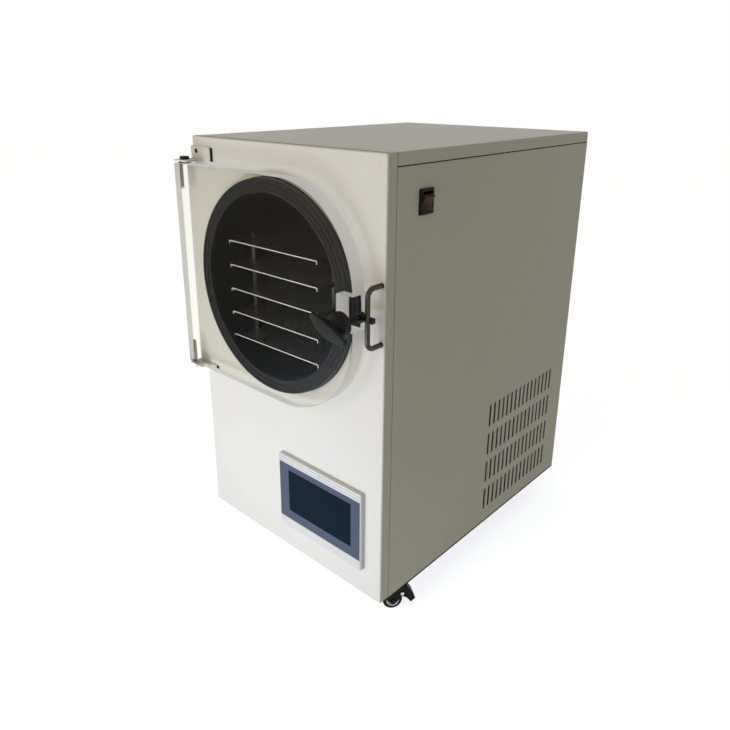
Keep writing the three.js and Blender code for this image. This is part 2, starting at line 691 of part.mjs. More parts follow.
// The pipe that a vacuum pump's hose is clamped to.
function vacuumPort() {
  const outer = PORT_BORE + PORT_WALL;
  const inside = CHAMBER_BACK + CHAMBER_WALL + FIT;
  const end = DEPTH + PORT_REACH;
  const collar = BACK_FACE + 4;
  const profile = [
    [PORT_BORE, CHAMBER_BACK - 4], [outer, CHAMBER_BACK - 4], [outer, inside],
    [PORT_FLANGE, inside], [PORT_FLANGE, inside + 4], [outer, inside + 4],
    [outer, collar - PORT_COLLAR], [PORT_FLANGE, collar - PORT_COLLAR], [PORT_FLANGE, collar],
    [outer, collar], [outer, end - 8], [PORT_FLANGE, end - 4], [PORT_FLANGE, end], [PORT_BORE, end],
  ];
  return piece('vacuum_port', turned(profile, 'y', 20), STAINLESS, [0, 0, CHAMBER_Z]);
}

// ---------------------------------------------------------------------------
// Door and hinges

// Square corners on the hinge side, large round corners on the latch side.
function doorOutline() {
  const outline = new THREE.Shape();
  const arc = DOOR_RIGHT - DOOR_CORNER;
  const rise = DOOR_HALF - DOOR_CORNER;
  outline.moveTo(DOOR_LEFT, -DOOR_HALF);
  outline.lineTo(arc, -DOOR_HALF);
  outline.absarc(arc, -rise, DOOR_CORNER, -Math.PI / 2, 0);
  outline.absarc(arc, rise, DOOR_CORNER, 0, Math.PI / 2);
  outline.lineTo(DOOR_LEFT, DOOR_HALF);
  return outline;
}

function door() {
  let plate = prism(doorOutline(), [DOOR_FRONT, DOOR_BACK], 'y', 9, DOOR_CHAMFER);
  const z = [NOTCH_RISE - NOTCH_HEIGHT / 2, NOTCH_RISE + NOTCH_HEIGHT / 2];
  const y = [DOOR_FRONT - THROUGH, DOOR_BACK + THROUGH];
  plate = plate.subtract(slab([NOTCH_LEFT, DOOR_RIGHT + THROUGH], y, z));
  [[DOOR_HALF - PIN_REACH - 3, DOOR_HALF + THROUGH], [-DOOR_HALF - THROUGH, PIN_REACH + 3 - DOOR_HALF]]
    .forEach((along) => {
      plate = plate.subtract(round('z', PIN_RADIUS + FIT, along, [PIN_X, DOOR_MIDDLE, 0], 12));
    });
  return piece('door', plate, ACRYLIC, [0, 0, CHAMBER_Z]);
}

// A bent plate: its back is screwed to the front panel and its ear carries the pin.
function hingeBracket(name, up) {
  const back = new THREE.Shape();
  const right = DOOR_LEFT + BRACKET_WIDTH;
  back.moveTo(DOOR_LEFT, 0);
  back.lineTo(right, 0);
  back.lineTo(right, BRACKET_HIGH - BRACKET_CORNER);
  back.absarc(right - BRACKET_CORNER, BRACKET_HIGH - BRACKET_CORNER, BRACKET_CORNER, 0, Math.PI / 2);
  back.lineTo(DOOR_LEFT, BRACKET_HIGH);
  const face = -FIT - BRACKET_SHEET;
  let bracket = prism(back, [face, -FIT], 'y');
  const ear = slab([DOOR_LEFT, DOOR_LEFT + EAR_WIDTH], [-BRACKET_REACH, -FIT], [0, BRACKET_SHEET]);
  bracket = bracket.add(ear);
  const through = [-THROUGH, BRACKET_SHEET + THROUGH];
  const hole = round('z', PIN_RADIUS + FIT, through, [PIN_X, DOOR_MIDDLE, 0], 12);
  const screwPlace = [PIN_X + SCREW_ASIDE, 0, SCREW_HIGH];
  const screw = round('y', SCREW_RADIUS, [face - THROUGH, THROUGH], screwPlace, 12);
  bracket = bracket.subtract(hole).subtract(screw);
  const away = DOOR_HALF + WASHER_THICK + 2 * FIT;
  if (up < 0) bracket = bracket.mirror([0, 0, 1]);
  return piece(name, bracket, FRONT_PAINT, [0, 0, CHAMBER_Z + up * away]);
}

function hingePin(name, up) {
  const ear = WASHER_THICK + 2 * FIT + BRACKET_SHEET;
  const headBase = ear + FIT;
  const profile = [
    [0, -PIN_REACH], [PIN_RADIUS, -PIN_REACH], [PIN_RADIUS, headBase], [PIN_HEAD, headBase],
    [PIN_HEAD, headBase + PIN_HEAD_HIGH - 1], [PIN_HEAD - 1, headBase + PIN_HEAD_HIGH],
    [0, headBase + PIN_HEAD_HIGH],
  ];
  let pin = turned(profile, 'z', 12);
  if (up < 0) pin = pin.mirror([0, 0, 1]);
  return piece(name, pin, BLACK_ENAMEL, [PIN_X, DOOR_MIDDLE, CHAMBER_Z + up * DOOR_HALF]);
}

function hingeWasher(name, up) {
  const inner = PIN_RADIUS + FIT;
  const profile = [[inner, FIT], [WASHER_RADIUS, FIT], [WASHER_RADIUS, FIT + WASHER_THICK],
    [inner, FIT + WASHER_THICK]];
  let washer = turned(profile, 'z', 16);
  if (up < 0) washer = washer.mirror([0, 0, 1]);
  return piece(name, washer, BLACK_PLASTIC, [PIN_X, DOOR_MIDDLE, CHAMBER_Z + up * DOOR_HALF]);
}

// ---------------------------------------------------------------------------
// Latch

// A U of round rod whose legs go through the front panel.
function latchRod() {
  const path = [[ROD_TAIL, -ROD_HALF]];
  for (let i = 0; i <= ROD_STEPS; i += 1) {
    const angle = (i / ROD_STEPS) * 90 * DEGREE;
    const y = ROD_Y + ROD_BEND * (1 - Math.sin(angle));
    path.push([y, -ROD_HALF + ROD_BEND * (1 - Math.cos(angle))]);
  }
  const mirrored = path.map(([y, z]) => [y, -z]).reverse();
  return piece('latch_rod', bentBar([...path, ...mirrored], ROD_RADIUS), DARK_METAL, [ROD_X, 0, LATCH_Z]);
}

// A flat bar that hooks behind the rod, a boss, and the threaded bolt for the knob.
function latchBolt() {
  const near = ROD_RADIUS + FIT;
  const far = near + HOOK_THICK;
  const high = [-HOOK_HIGH / 2, HOOK_HIGH / 2];
  const bar = slab([-ARM_REACH, near + HOOK_LIP], [near, far], high);
  const lip = slab([near, near + HOOK_LIP], [-1, far], high);
  const boss = round('y', BOSS_RADIUS, [far + 1 - BOSS_LONG, far + 1], [-ARM_REACH, 0, 0], 20);
  const bolt = round('y', BOLT_RADIUS, [-BOLT_LENGTH, near], [-ARM_REACH, 0, 0], 16);
  return piece('latch_bolt', join(bar, lip, boss, bolt), DARK_METAL, [ROD_X, ROD_Y, BOLT_Z]);
}

// One section across the wing, at a share of the half length from its middle.
function wingStation(share) {
  const bulge = 1 - share * share;
  const half = (WING_END + (WING_MIDDLE - WING_END) * bulge) / 2;
  const front = WING_CROWN * share * share;
  const thick = WING_EDGE + 12 * (1 - Math.abs(share)) ** 2;
  const x = (share * WING_LENGTH) / 2;
  const lip = 1.2;
  return [
    [x, front, half - lip], [x, front + lip, half], [x, front + thick, half * 0.8],
    [x, front + thick, -half * 0.8], [x, front + lip, -half], [x, front, lip - half],
  ];
}

// A moulded T-handle: a lens-shaped wing that flows through a waist into a round hub.
function latchKnob() {
  const stations = [];
  for (let i = 0; i <= WING_STATIONS; i += 1) {
    stations.push(wingStation((2 * i) / WING_STATIONS - 1));
  }
  const wing = loft(stations);
  const deep = KNOB_BACK - KNOB_FRONT;
  const hub = turned([
    [0, 8], [WAIST_RADIUS - 1.5, 8], [WAIST_RADIUS - 0.5, 13], [WAIST_RADIUS + 2, 16.5],
    [HUB_RADIUS - 1, 20], [HUB_RADIUS, 22], [HUB_RADIUS, deep - 1], [HUB_RADIUS - 1, deep], [0, deep],
  ], 'y', 24);
  const boltTip = ROD_Y - BOLT_LENGTH - KNOB_FRONT;
  const bore = round('y', BOLT_RADIUS + FIT, [boltTip - FIT, deep + THROUGH], [0, 0, 0], 16);
  const shape = wing.add(hub).subtract(bore);
  const mesh = piece('latch_knob', shape, BLACK_PLASTIC, [BOLT_X, KNOB_FRONT, BOLT_Z]);
  mesh.rotation.y = WING_TILT * DEGREE;
  return mesh;
}

// ---------------------------------------------------------------------------
// Operator screen

function screenSpan(inset) {
  return [SCREEN_LEFT + inset, SCREEN_RIGHT - inset];
}

// The part of the housing that goes through the front panel.
function screenBodyBlock(inset) {
  const z = [SCREEN_LOW + inset, SCREEN_HIGH - inset];
  return slab(screenSpan(inset), [-SCREEN_PROUD + GLASS_THICK + GLASS_SUNK + FIT, BODY_DEEP], z);
}

function screenFrame() {
  const width = SCREEN_RIGHT - SCREEN_LEFT;
  const height = SCREEN_HIGH - SCREEN_LOW;
  const centreX = (SCREEN_LEFT + SCREEN_RIGHT) / 2;
  const centreZ = (SCREEN_LOW + SCREEN_HIGH) / 2;
  const low = GLASS_BASE - height / 2;
  const high = height / 2 - GLASS_TOP;
  const side = width / 2 - GLASS_SIDE;
  const seat = slab([-side, side], [-THROUGH, GLASS_THICK + GLASS_SUNK + FIT], [low, high]);
  const ledge = side - GLASS_LEDGE;
  const window = slab([-ledge, ledge], [0, SCREEN_PROUD], [low + GLASS_LEDGE, high - GLASS_LEDGE]);
  const groove = height / 2 - GROOVE_DROP;
  const line = slab([-side, side], [-THROUGH, GROOVE_DEEP], [groove - GROOVE_WIDTH, groove]);
  const frame = softBlock(width, height, SCREEN_PROUD - FIT, FRONT_BEND);
  const inset = BODY_INSET - FIT;
  const pocketY = [GLASS_THICK + GLASS_SUNK + 3, SCREEN_PROUD + THROUGH];
  const pocketZ = [inset - height / 2, height / 2 - inset];
  const pocket = slab([inset - width / 2, width / 2 - inset], pocketY, pocketZ);
  const shape = frame.subtract(join(seat, window)).subtract(line).subtract(pocket);
  return piece('screen_frame', shape, SILVER_PLASTIC, [centreX, -SCREEN_PROUD, centreZ]);
}

function screenGlass() {
  const side = GLASS_SIDE + FIT;
  const y = [GLASS_SUNK - SCREEN_PROUD, GLASS_SUNK + GLASS_THICK - SCREEN_PROUD];
  const z = [SCREEN_LOW + GLASS_BASE + FIT, SCREEN_HIGH - GLASS_TOP - FIT];
  return piece('screen_glass', slab(screenSpan(side), y, z), SCREEN_GLASS);
}

function screenBody() {
  const y = [GLASS_SUNK + GLASS_THICK + 3 + FIT - SCREEN_PROUD, BODY_DEEP];
  const z = [SCREEN_LOW + BODY_INSET, SCREEN_HIGH - BODY_INSET];
  return piece('screen_body', slab(screenSpan(BODY_INSET), y, z), BLACK_PLASTIC);
}

// ---------------------------------------------------------------------------
// Rocker switch

function switchFrame() {
  const rim = softBlock(SWITCH_WIDTH, SWITCH_HIGH, SWITCH_PROUD - FIT, 2);
  const half = SWITCH_WIDTH / 2 - SWITCH_RIM / 2;
  const high = SWITCH_HIGH / 2 - SWITCH_RIM / 2;
  const body = slab([-half, half], [SWITCH_PROUD - FIT - 1, SWITCH_DEEP], [-high, high]);
  const wide = SWITCH_WIDTH / 2 - SWITCH_RIM;
  const tall = SWITCH_HIGH / 2 - SWITCH_RIM;
  const pocket = slab([-wide, wide], [-THROUGH, SWITCH_DEEP - 3], [-tall, tall]);
  const mesh = piece('switch_frame', rim.add(body).subtract(pocket), BLACK_PLASTIC,
    [HALF + SWITCH_PROUD, SWITCH_Y, SWITCH_Z]);
  mesh.rotation.z = Math.PI / 2;
  return mesh;
}

// Drawn in X and Z around its pivot, upright, and turned so that its lower end is pressed.
function switchRocker() {
  const half = SWITCH_WIDTH / 2 - SWITCH_RIM - FIT;
  const outline = polygon([
    [-ROCKER_TAIL, -8], [8, -12], [ROCKER_TIP, -ROCKER_HALF], [ROCKER_TIP - ROCKER_DISH, 0],
    [ROCKER_TIP, ROCKER_HALF], [8, 12], [-ROCKER_TAIL, 8],
  ]);
  const pivot = HALF + SWITCH_PROUD - ROCKER_PIVOT;
  const mesh = piece('switch_rocker', prism(outline, [-half, half], 'y'), DARK_RED,
    [pivot, SWITCH_Y, SWITCH_Z]);
  mesh.rotation.y = (ROCKER_SWING / 2) * DEGREE;
  return mesh;
}

// ---------------------------------------------------------------------------
// Castors

// The plate is screwed under the tray and carries the king pin.
function castorPlate(name, x, y) {
  const half = CASTOR_PLATE / 2;
  const top = TRAY_BOTTOM - FIT;
  const under = top - CASTOR_SHEET;
  const raceEnd = under - RACE_HIGH;
  const pinEnd = raceEnd - FORK_SHEET - 2 * FIT;
  const plate = slab([-half, half], [-half, half], [under, top]);
  const king = turned([
    [0, under + 1], [RACE_RADIUS, under + 1], [RACE_RADIUS - 2, raceEnd], [KING_RADIUS, raceEnd],
    [KING_RADIUS, pinEnd], [KING_RADIUS + 3, pinEnd], [KING_RADIUS + 3, pinEnd - 2], [0, pinEnd - 2],
  ], 'z', 12);
  return piece(name, plate.add(king), GALVANISED, [x, y, 0]);
}

function cheekOutline(brake) {
  const outline = new THREE.Shape();
  const top = TRAY_BOTTOM - CASTOR_SHEET - RACE_HIGH - 2 * FIT;
  outline.moveTo(-11, top);
  outline.lineTo(-11, top - 6);
  outline.lineTo(TRAIL - 6, WHEEL_Z - 2);
  outline.absarc(TRAIL, WHEEL_Z, 6, Math.PI, 1.9 * Math.PI);
  if (brake) outline.lineTo(PEDAL_PIVOT_Y + 4, PEDAL_PIVOT_Z - 2);
  outline.lineTo(brake ? PEDAL_PIVOT_Y + 4 : 18, top - 6);
  outline.lineTo(brake ? PEDAL_PIVOT_Y : 14, top);
  return outline;
}

// Folded sheet around the wheel, with the axle riveted through both cheeks.
function castorFork(name, brake) {
  const inner = WHEEL_WIDTH / 2 + FORK_GAP;
  const outer = inner + FORK_SHEET;
  const top = TRAY_BOTTOM - CASTOR_SHEET - RACE_HIGH - 2 * FIT;
  const right = prism(cheekOutline(brake), [inner, outer], 'x');
  const left = prism(cheekOutline(brake), [-outer, -inner], 'x');
  const crown = slab([-outer, outer], [-11, 14], [top - FORK_SHEET, top]);
  const axle = round('x', AXLE_RADIUS, [-outer, outer], [0, TRAIL, WHEEL_Z], 12);
  const heads = [[-outer - 1.5, -outer + 1], [outer - 1, outer + 1.5]].map(
    (along) => round('x', AXLE_RADIUS + 2, along, [0, TRAIL, WHEEL_Z], 12));
  const kingHole = round('z', KING_RADIUS + FIT, [top - THROUGH, top + THROUGH], [0, 0, 0], 12);
  let fork = join(right, left, crown, axle, ...heads).subtract(kingHole);
  if (brake) {
    const pivot = [0, PEDAL_PIVOT_Y, PEDAL_PIVOT_Z];
    fork = fork.subtract(round('x', PEDAL_PIN + FIT, [-outer - THROUGH, outer + THROUGH], pivot, 8));
  }
  return piece(name, fork, BLACK_ENAMEL);
}

function castorWheel(name) {
  const half = WHEEL_WIDTH / 2;
  const bore = AXLE_RADIUS + FIT;
  const rim = WHEEL_RADIUS - 6;
  const wheel = turned([
    [bore, -half], [6, -half], [rim - 2, 2 - half], [rim, -half],
    [WHEEL_RADIUS - 1.5, -half], [WHEEL_RADIUS, 2 - half], [WHEEL_RADIUS, half - 2],
    [WHEEL_RADIUS - 1.5, half], [rim, half], [rim - 2, half - 2], [6, half], [bore, half],
  ], 'x', 20);
  return piece(name, wheel, BLACK_RUBBER, [0, TRAIL, WHEEL_Z]);
}

// A foot pedal whose nose presses on the tyre.
function brakePedal(name) {
  const outline = polygon([
    [-6, 7], [-3, 13.5], [9, 13.5], [21, -4], [25, -15.5], [17, -22.5], [8, -11.5], [2, -8.5], [-4, 1.5],
  ]);
  const half = WHEEL_WIDTH / 2 + FORK_GAP - FIT;
  const outer = half + FIT + FORK_SHEET + 1;
  const pin = round('x', PEDAL_PIN, [-outer, outer], [0, 0, 0], 8);
  const shape = prism(outline, [-half, half], 'x').add(pin);
  return piece(name, shape, BLACK_ENAMEL, [0, PEDAL_PIVOT_Y, PEDAL_PIVOT_Z]);
}

// One castor: its plate stays square to the cabinet and the rest turns about the king pin.
function castor(corner, x, y, turn, brake) {
  const swivel = new THREE.Group();
  swivel.position.set(x, y, 0);
  swivel.rotation.z = turn * DEGREE;
  swivel.add(castorFork(`castor_fork_${corner}`, brake), castorWheel(`castor_wheel_${corner}`));
  if (brake) swivel.add(brakePedal(`brake_pedal_${corner}`));
  return [castorPlate(`castor_plate_${corner}`, x, y), swivel];
}

// ---------------------------------------------------------------------------
// Refrigeration, fan and electrics

function compressor() {
  const foot = COMPRESSOR_FOOT;
  const radius = COMPRESSOR_RADIUS;
  const top = foot + COMPRESSOR_HIGH;
  const can = turned([
    [0, foot + 2], [radius * 0.8, foot + 2], [radius * 0.96, foot + 14], [radius, foot + 34],
    [radius, foot + 86], [radius + 3, foot + 86], [radius + 3, foot + 92], [radius, foot + 92],
    [radius, top - 34], [radius * 0.9, top - 14], [radius * 0.6, top - 3], [0, top],
  ], 'z', 20);
  const plate = slab([-radius, radius], [-radius, radius], [foot, foot + 3]);
  const feet = [[1, 1], [-1, 1], [-1, -1], [1, -1]].map(([x, y]) => {
    const centre = [x * (radius - 12), y * (radius - 12), 0];
    return round('z', 11, [0, foot + 1], centre, 8);
  });
  return piece('compressor', join(can, plate, ...feet), BLACK_ENAMEL, [COMPRESSOR_X, MACHINES_Y, 0]);
}

function condenserFace() {
  return HALF - CONDENSER_GAP - CONDENSER_DEEP;
}

// Upright fins joined by the tube bank in their middle.
function condenserCoil() {
  const half = SHROUD_SIDE / 2;
  const deep = CONDENSER_DEEP / 2;
  const pitch = SHROUD_SIDE / FIN_COUNT;
  const web = 4;
  const upper = [];
  for (let i = 0; i < FIN_COUNT; i += 1) {
    const start = (i + 0.5) * pitch - half - FIN_THICK / 2;
    const end = start + FIN_THICK;
    upper.push([web, start], [deep, start], [deep, end], [web, end]);
  }
  const lower = upper.map(([x, y]) => [-x, y]).reverse();
  const shape = prism(polygon([...lower, ...upper].reverse()), [-half, half], 'z');
  return piece('condenser_coil', shape, { ...GALVANISED }, [condenserFace() + deep, MACHINES_Y, FAN_Z]);
}

function fanShroud() {
  const half = SHROUD_SIDE / 2;
  const box = slab([-SHROUD_DEEP, 0], [-half, half], [-half, half]);
  const through = [-SHROUD_DEEP - THROUGH, THROUGH];
  const tunnel = round('x', FAN_RADIUS + FAN_TIP_GAP, through, [0, 0, 0], 32);
  const foot = slab([-SHROUD_DEEP, 0], [-half, half], [-FAN_Z, -half + 1]);
  const shape = join(box, foot);
  const place = [condenserFace() - FIT, MACHINES_Y, FAN_Z];
  return piece('fan_shroud', shape.subtract(tunnel), BLACK_ENAMEL, place);
}

// A flat blade, from inside the hub to its round-cornered tip, pitched about its middle line.
function fanBlade() {
  const tip = BLADE_WIDTH / 2 - BLADE_CORNER;
  const shoulder = FAN_RADIUS - BLADE_CORNER;
  const outline = new THREE.Shape();
  outline.moveTo(-BLADE_ROOT / 2, FAN_SHAFT + BLADE_SHEET);
  outline.lineTo(BLADE_ROOT / 2, FAN_SHAFT + BLADE_SHEET);
  outline.lineTo(BLADE_WIDTH / 2, shoulder);
  outline.absarc(tip, shoulder, BLADE_CORNER, 0, Math.PI / 2);
  outline.absarc(-tip, shoulder, BLADE_CORNER, Math.PI / 2, Math.PI);
  return prism(outline, [-BLADE_SHEET / 2, BLADE_SHEET / 2], 'x').rotate([0, 0, BLADE_PITCH]);
}

function fanRotor() {
  const half = FAN_HUB_LONG / 2;
  let rotor = round('x', FAN_HUB, [-half, half], [0, 0, 0], 20);
  for (let i = 0; i < FAN_BLADES; i += 1) {
    rotor = rotor.add(fanBlade().rotate([(i * 360) / FAN_BLADES, 0, 0]));
  }
  const through = [-half - THROUGH, half + THROUGH];
  const bore = round('x', FAN_SHAFT + FIT, through, [0, 0, 0], 12);
  const x = condenserFace() - FIT - SHROUD_DEEP / 2;
  return piece('fan_rotor', rotor.subtract(bore), GREY_PLASTIC, [x, MACHINES_Y, FAN_Z]);
}

// The motor hangs behind the shroud on three arms.
function fanMotor() {
  const shaftEnd = (SHROUD_DEEP + FAN_HUB_LONG) / 2;
  const can = turned([
    [0, -MOTOR_LENGTH], [MOTOR_RADIUS - 4, -MOTOR_LENGTH], [MOTOR_RADIUS, 4 - MOTOR_LENGTH],
    [MOTOR_RADIUS, -3], [MOTOR_RADIUS - 3, 0], [FAN_SHAFT, 0], [FAN_SHAFT, shaftEnd], [0, shaftEnd],
  ], 'x', 20);
  const reach = FAN_RADIUS + FAN_TIP_GAP + SHROUD_WALL / 3;
  let motor = can;
  [90, 210, 330].forEach((angle) => {
    const arm = slab([-5, 0], [MOTOR_RADIUS - 2, reach], [-MOTOR_ARM / 2, MOTOR_ARM / 2]);
    motor = motor.add(arm.rotate([angle, 0, 0]));
  });
  const x = condenserFace() - SHROUD_DEEP - 2 * FIT;
  return piece('fan_motor', motor, BLACK_ENAMEL, [x, MACHINES_Y, FAN_Z]);
}

function controlBox() {
  const [width, depth, height] = BOX_SIZE;
  const box = softBlock(width, depth, height, FRONT_BEND);
  const mesh = piece('control_box', box, GREY_PLASTIC, [BOX_X, BOX_Y, DECK_TOP + FIT + height]);
  mesh.rotation.x = -Math.PI / 2;
  return mesh;
}

// Panel socket with three flat pins in its well.
function powerInlet() {
  const flangeHalf = INLET_WIDTH / 2;
  const half = INLET_HIGH / 2;
  const proud = 3;
  const outside = BACK_FACE + FIT;
  const flange = slab([-flangeHalf, flangeHalf], [outside, outside + proud], [-half, half]);
  const body = slab([-half, half], [outside - 24, outside + 1], [3 - half, half - 3]);
  const wellX = half - 1.8;
  const wellZ = half - 5;
  const cut = 3;
  const well = polygon([
    [-wellX, -wellZ], [wellX, -wellZ], [wellX, wellZ - cut], [wellX - cut, wellZ],
    [cut - wellX, wellZ], [-wellX, wellZ - cut],
  ]);
  const pocket = prism(well, [outside - 18, outside + proud + THROUGH], 'y');
  let inlet = flange.add(body).subtract(pocket);
  [[-7, -1], [7, -1], [0, 3]].forEach(([x, z]) => {
    inlet = inlet.add(slab([x - 1, x + 1], [outside - 19, outside - 2], [z - 2, z + 2]));
  });
  return piece('power_inlet', inlet, BLACK_PLASTIC, [INLET_X, 0, INLET_Z]);
}

// ---------------------------------------------------------------------------
// Assembly

function cabinet() {
  return [frontPanel(), topCover(), ...sidePanels(), backPanel(), baseTray(), midDeck(),
    cradle('cradle_front', CRADLE_FRONT_Y), cradle('cradle_rear', CRADLE_REAR_Y)];
}

function chamber() {
  const shelves = [];
  for (let number = 1; number <= SHELF_COUNT; number += 1) shelves.push(shelf(number));
  return [chamberVessel(), doorSeal(), insulationJacket(), evaporatorCoil(), shelfRack(),
    ...shelves, vacuumPort()];
}

function doorSet() {
  return [
    door(),
    hingeBracket('hinge_bracket_upper', 1), hingeBracket('hinge_bracket_lower', -1),
    hingePin('hinge_pin_upper', 1), hingePin('hinge_pin_lower', -1),
    hingeWasher('hinge_washer_upper', 1), hingeWasher('hinge_washer_lower', -1),
    latchRod(), latchBolt(), latchKnob(),
  ];
}

function controls() {
  return [screenFrame(), screenGlass(), screenBody(), switchFrame(), switchRocker()];
}

function castors() {
  return [
    ...castor('front_right', CASTOR_X, CASTOR_FRONT_Y, -35, true),
    ...castor('front_left', -CASTOR_X, CASTOR_FRONT_Y, -35, true),
    ...castor('rear_right', CASTOR_X, CASTOR_REAR_Y, 90, false),
    ...castor('rear_left', -CASTOR_X, CASTOR_REAR_Y, -75, false),
  ];
}

function machinery() {
  return [compressor(), condenserCoil(), fanShroud(), fanRotor(), fanMotor(), controlBox(),
    powerInlet()];
}

const freezeDryer = new THREE.Group();
freezeDryer.add(...cabinet(), ...chamber(), ...doorSet(), ...controls(), ...castors(), ...machinery());

// The model's own origin lies on the floor, in the middle of its box.
freezeDryer.updateMatrixWorld(true);
const bounds = new THREE.Box3().setFromObject(freezeDryer, true);
const middle = bounds.getCenter(new THREE.Vector3());
freezeDryer.position.set(-middle.x, -middle.y, -bounds.min.z);

export default freezeDryer;
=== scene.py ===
# A laboratory freeze dryer, put together from its cabinet outwards: painted sheet-metal panels, the
# vacuum chamber with its seal and shelves, the clear door and its latch, the controls and castors.
import json

from math import cos, pi, radians, sin

import bmesh
import bpy
from mathutils import Matrix, Vector


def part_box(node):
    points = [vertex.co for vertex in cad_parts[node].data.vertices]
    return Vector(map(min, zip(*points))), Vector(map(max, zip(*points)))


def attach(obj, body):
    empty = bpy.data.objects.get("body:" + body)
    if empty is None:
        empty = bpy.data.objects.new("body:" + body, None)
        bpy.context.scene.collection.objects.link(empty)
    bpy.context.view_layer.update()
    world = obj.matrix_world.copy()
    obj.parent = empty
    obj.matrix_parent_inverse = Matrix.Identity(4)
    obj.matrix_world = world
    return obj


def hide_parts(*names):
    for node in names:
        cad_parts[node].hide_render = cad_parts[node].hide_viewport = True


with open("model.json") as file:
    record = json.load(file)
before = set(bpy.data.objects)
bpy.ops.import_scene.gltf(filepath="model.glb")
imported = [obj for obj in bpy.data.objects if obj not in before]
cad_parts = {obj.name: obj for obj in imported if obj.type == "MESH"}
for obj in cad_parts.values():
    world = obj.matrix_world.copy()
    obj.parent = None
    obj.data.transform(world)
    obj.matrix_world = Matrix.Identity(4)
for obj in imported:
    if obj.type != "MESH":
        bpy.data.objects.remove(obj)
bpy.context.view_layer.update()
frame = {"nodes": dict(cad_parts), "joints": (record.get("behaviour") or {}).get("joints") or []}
MM = 0.001


# ----------------------------------------
# Studio. A white room with a pale floor; a low cool lamp and a wide warm one stand before the
# machine. The camera is to the right of the front and looks down on it.
panel_low, panel_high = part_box("front_panel")
panel_foot = Vector(((panel_low.x + panel_high.x) / 2, panel_low.y, panel_low.z))
scene = bpy.context.scene
scene.view_settings.view_transform = "Standard"

camera_data = bpy.data.cameras.new("camera")
camera_data.lens = 33.33
camera_data.sensor_width = 36
camera_data.shift_x = 0.0121
camera_data.shift_y = -0.0708
camera = bpy.data.objects.new("camera", camera_data)
camera.location = panel_foot + Vector((0.8142, -0.6975, 0.8243))
turn, tilt, roll = radians(42.79), radians(18.81), radians(0.20)
sight = Vector((-sin(turn) * cos(tilt), cos(turn) * cos(tilt), -sin(tilt)))
camera.rotation_euler = (
    sight.to_track_quat("-Z", "Y").to_matrix() @ Matrix.Rotation(roll, 3, "Z")
).to_euler()
scene.collection.objects.link(camera)
scene.camera = camera


def add_lamp(name, place, target, size, power, colour):
    """A soft rectangular lamp that points at a place."""
    data = bpy.data.lights.new(name, "AREA")
    data.shape = "RECTANGLE"
    data.size, data.size_y = size
    data.energy = power
    data.color = colour
    lamp = bpy.data.objects.new(name, data)
    lamp.location = place
    lamp.visible_transmission = False
    lamp.rotation_euler = (Vector(target) - Vector(place)).to_track_quat("-Z", "Y").to_euler()
    scene.collection.objects.link(lamp)


middle = (0, 0, 0.42)
add_lamp("low_lamp", (-0.02, -1.05, 0.1), (-0.02, -0.3, 0.08), (0.8, 0.16), 4.1, (0.69, 0.79, 1))
add_lamp("front_lamp", (-0.6, -2.6, 0.95), middle, (2.2, 1.6), 27, (1, 0.91, 0.83))


def add_node(tree, kind, inputs, output=0, operation=None):
    """A shader node with its inputs set to values or linked to outputs; returns one of its outputs."""
    node = tree.nodes.new(kind)
    if operation:
        node.operation = operation
    for label, value in inputs.items():
        if isinstance(value, bpy.types.NodeSocket):
            tree.links.new(value, node.inputs[label])
        else:
            node.inputs[label].default_value = value
    return node.outputs[output]


def either(tree, first, second):
    """1 where one of two masks is 1."""
    return add_node(tree, "ShaderNodeMath", {0: first, 1: second}, operation="MAXIMUM")


def seen_directly(tree):
    """1 where the camera looks straight, in a mirror or through glass, and 0 for the light itself."""
    path = tree.nodes.new("ShaderNodeLightPath").outputs
    straight_or_mirrored = either(tree, path["Is Camera Ray"], path["Is Glossy Ray"])
    return either(tree, straight_or_mirrored, path["Is Transmission Ray"])


world = bpy.data.worlds.new("white_room")
world.use_nodes = True
scene.world = world
room = world.node_tree
room_light = room.nodes["Background"]
room_light.inputs["Color"].default_value = (1, 0.98, 0.8, 1)
room_light.inputs["Strength"].default_value = 0.247
room_white = add_node(room, "ShaderNodeBackground", {"Color": (1, 1, 1, 1)})
room_shades = {0: seen_directly(room), 1: room_light.outputs["Background"], 2: room_white}
room_mix = add_node(room, "ShaderNodeMixShader", room_shades)
room.links.new(room_mix, room.nodes["World Output"].inputs["Surface"])

FLOOR_GLOW = 0.82
floor_mesh = bmesh.new()
bmesh.ops.create_grid(floor_mesh, x_segments=1, y_segments=1, size=12)
floor_data = bpy.data.meshes.new("floor")
floor_mesh.to_mesh(floor_data)
floor_mesh.free()
floor = bpy.data.objects.new("floor", floor_data)
floor_paint = bpy.data.materials.new("floor_white")
floor_paint.use_nodes = True
floor_tree = floor_paint.node_tree
floor_shader = floor_tree.nodes["Principled BSDF"]
floor_shader.inputs["Base Color"].default_value = (0.88, 0.88, 0.88, 1)
floor_shader.inputs["Roughness"].default_value = 0.9
floor_shader.inputs["Specular IOR Level"].default_value = 0
floor_shader.inputs["Emission Color"].default_value = (0.95, 0.96, 1, 1)
floor_factors = {0: seen_directly(floor_tree), 1: FLOOR_GLOW}
floor_glow = add_node(floor_tree, "ShaderNodeMath", floor_factors, operation="MULTIPLY")
floor_tree.links.new(floor_glow, floor_shader.inputs["Emission Strength"])
floor_data.materials.append(floor_paint)
scene.collection.objects.link(floor)


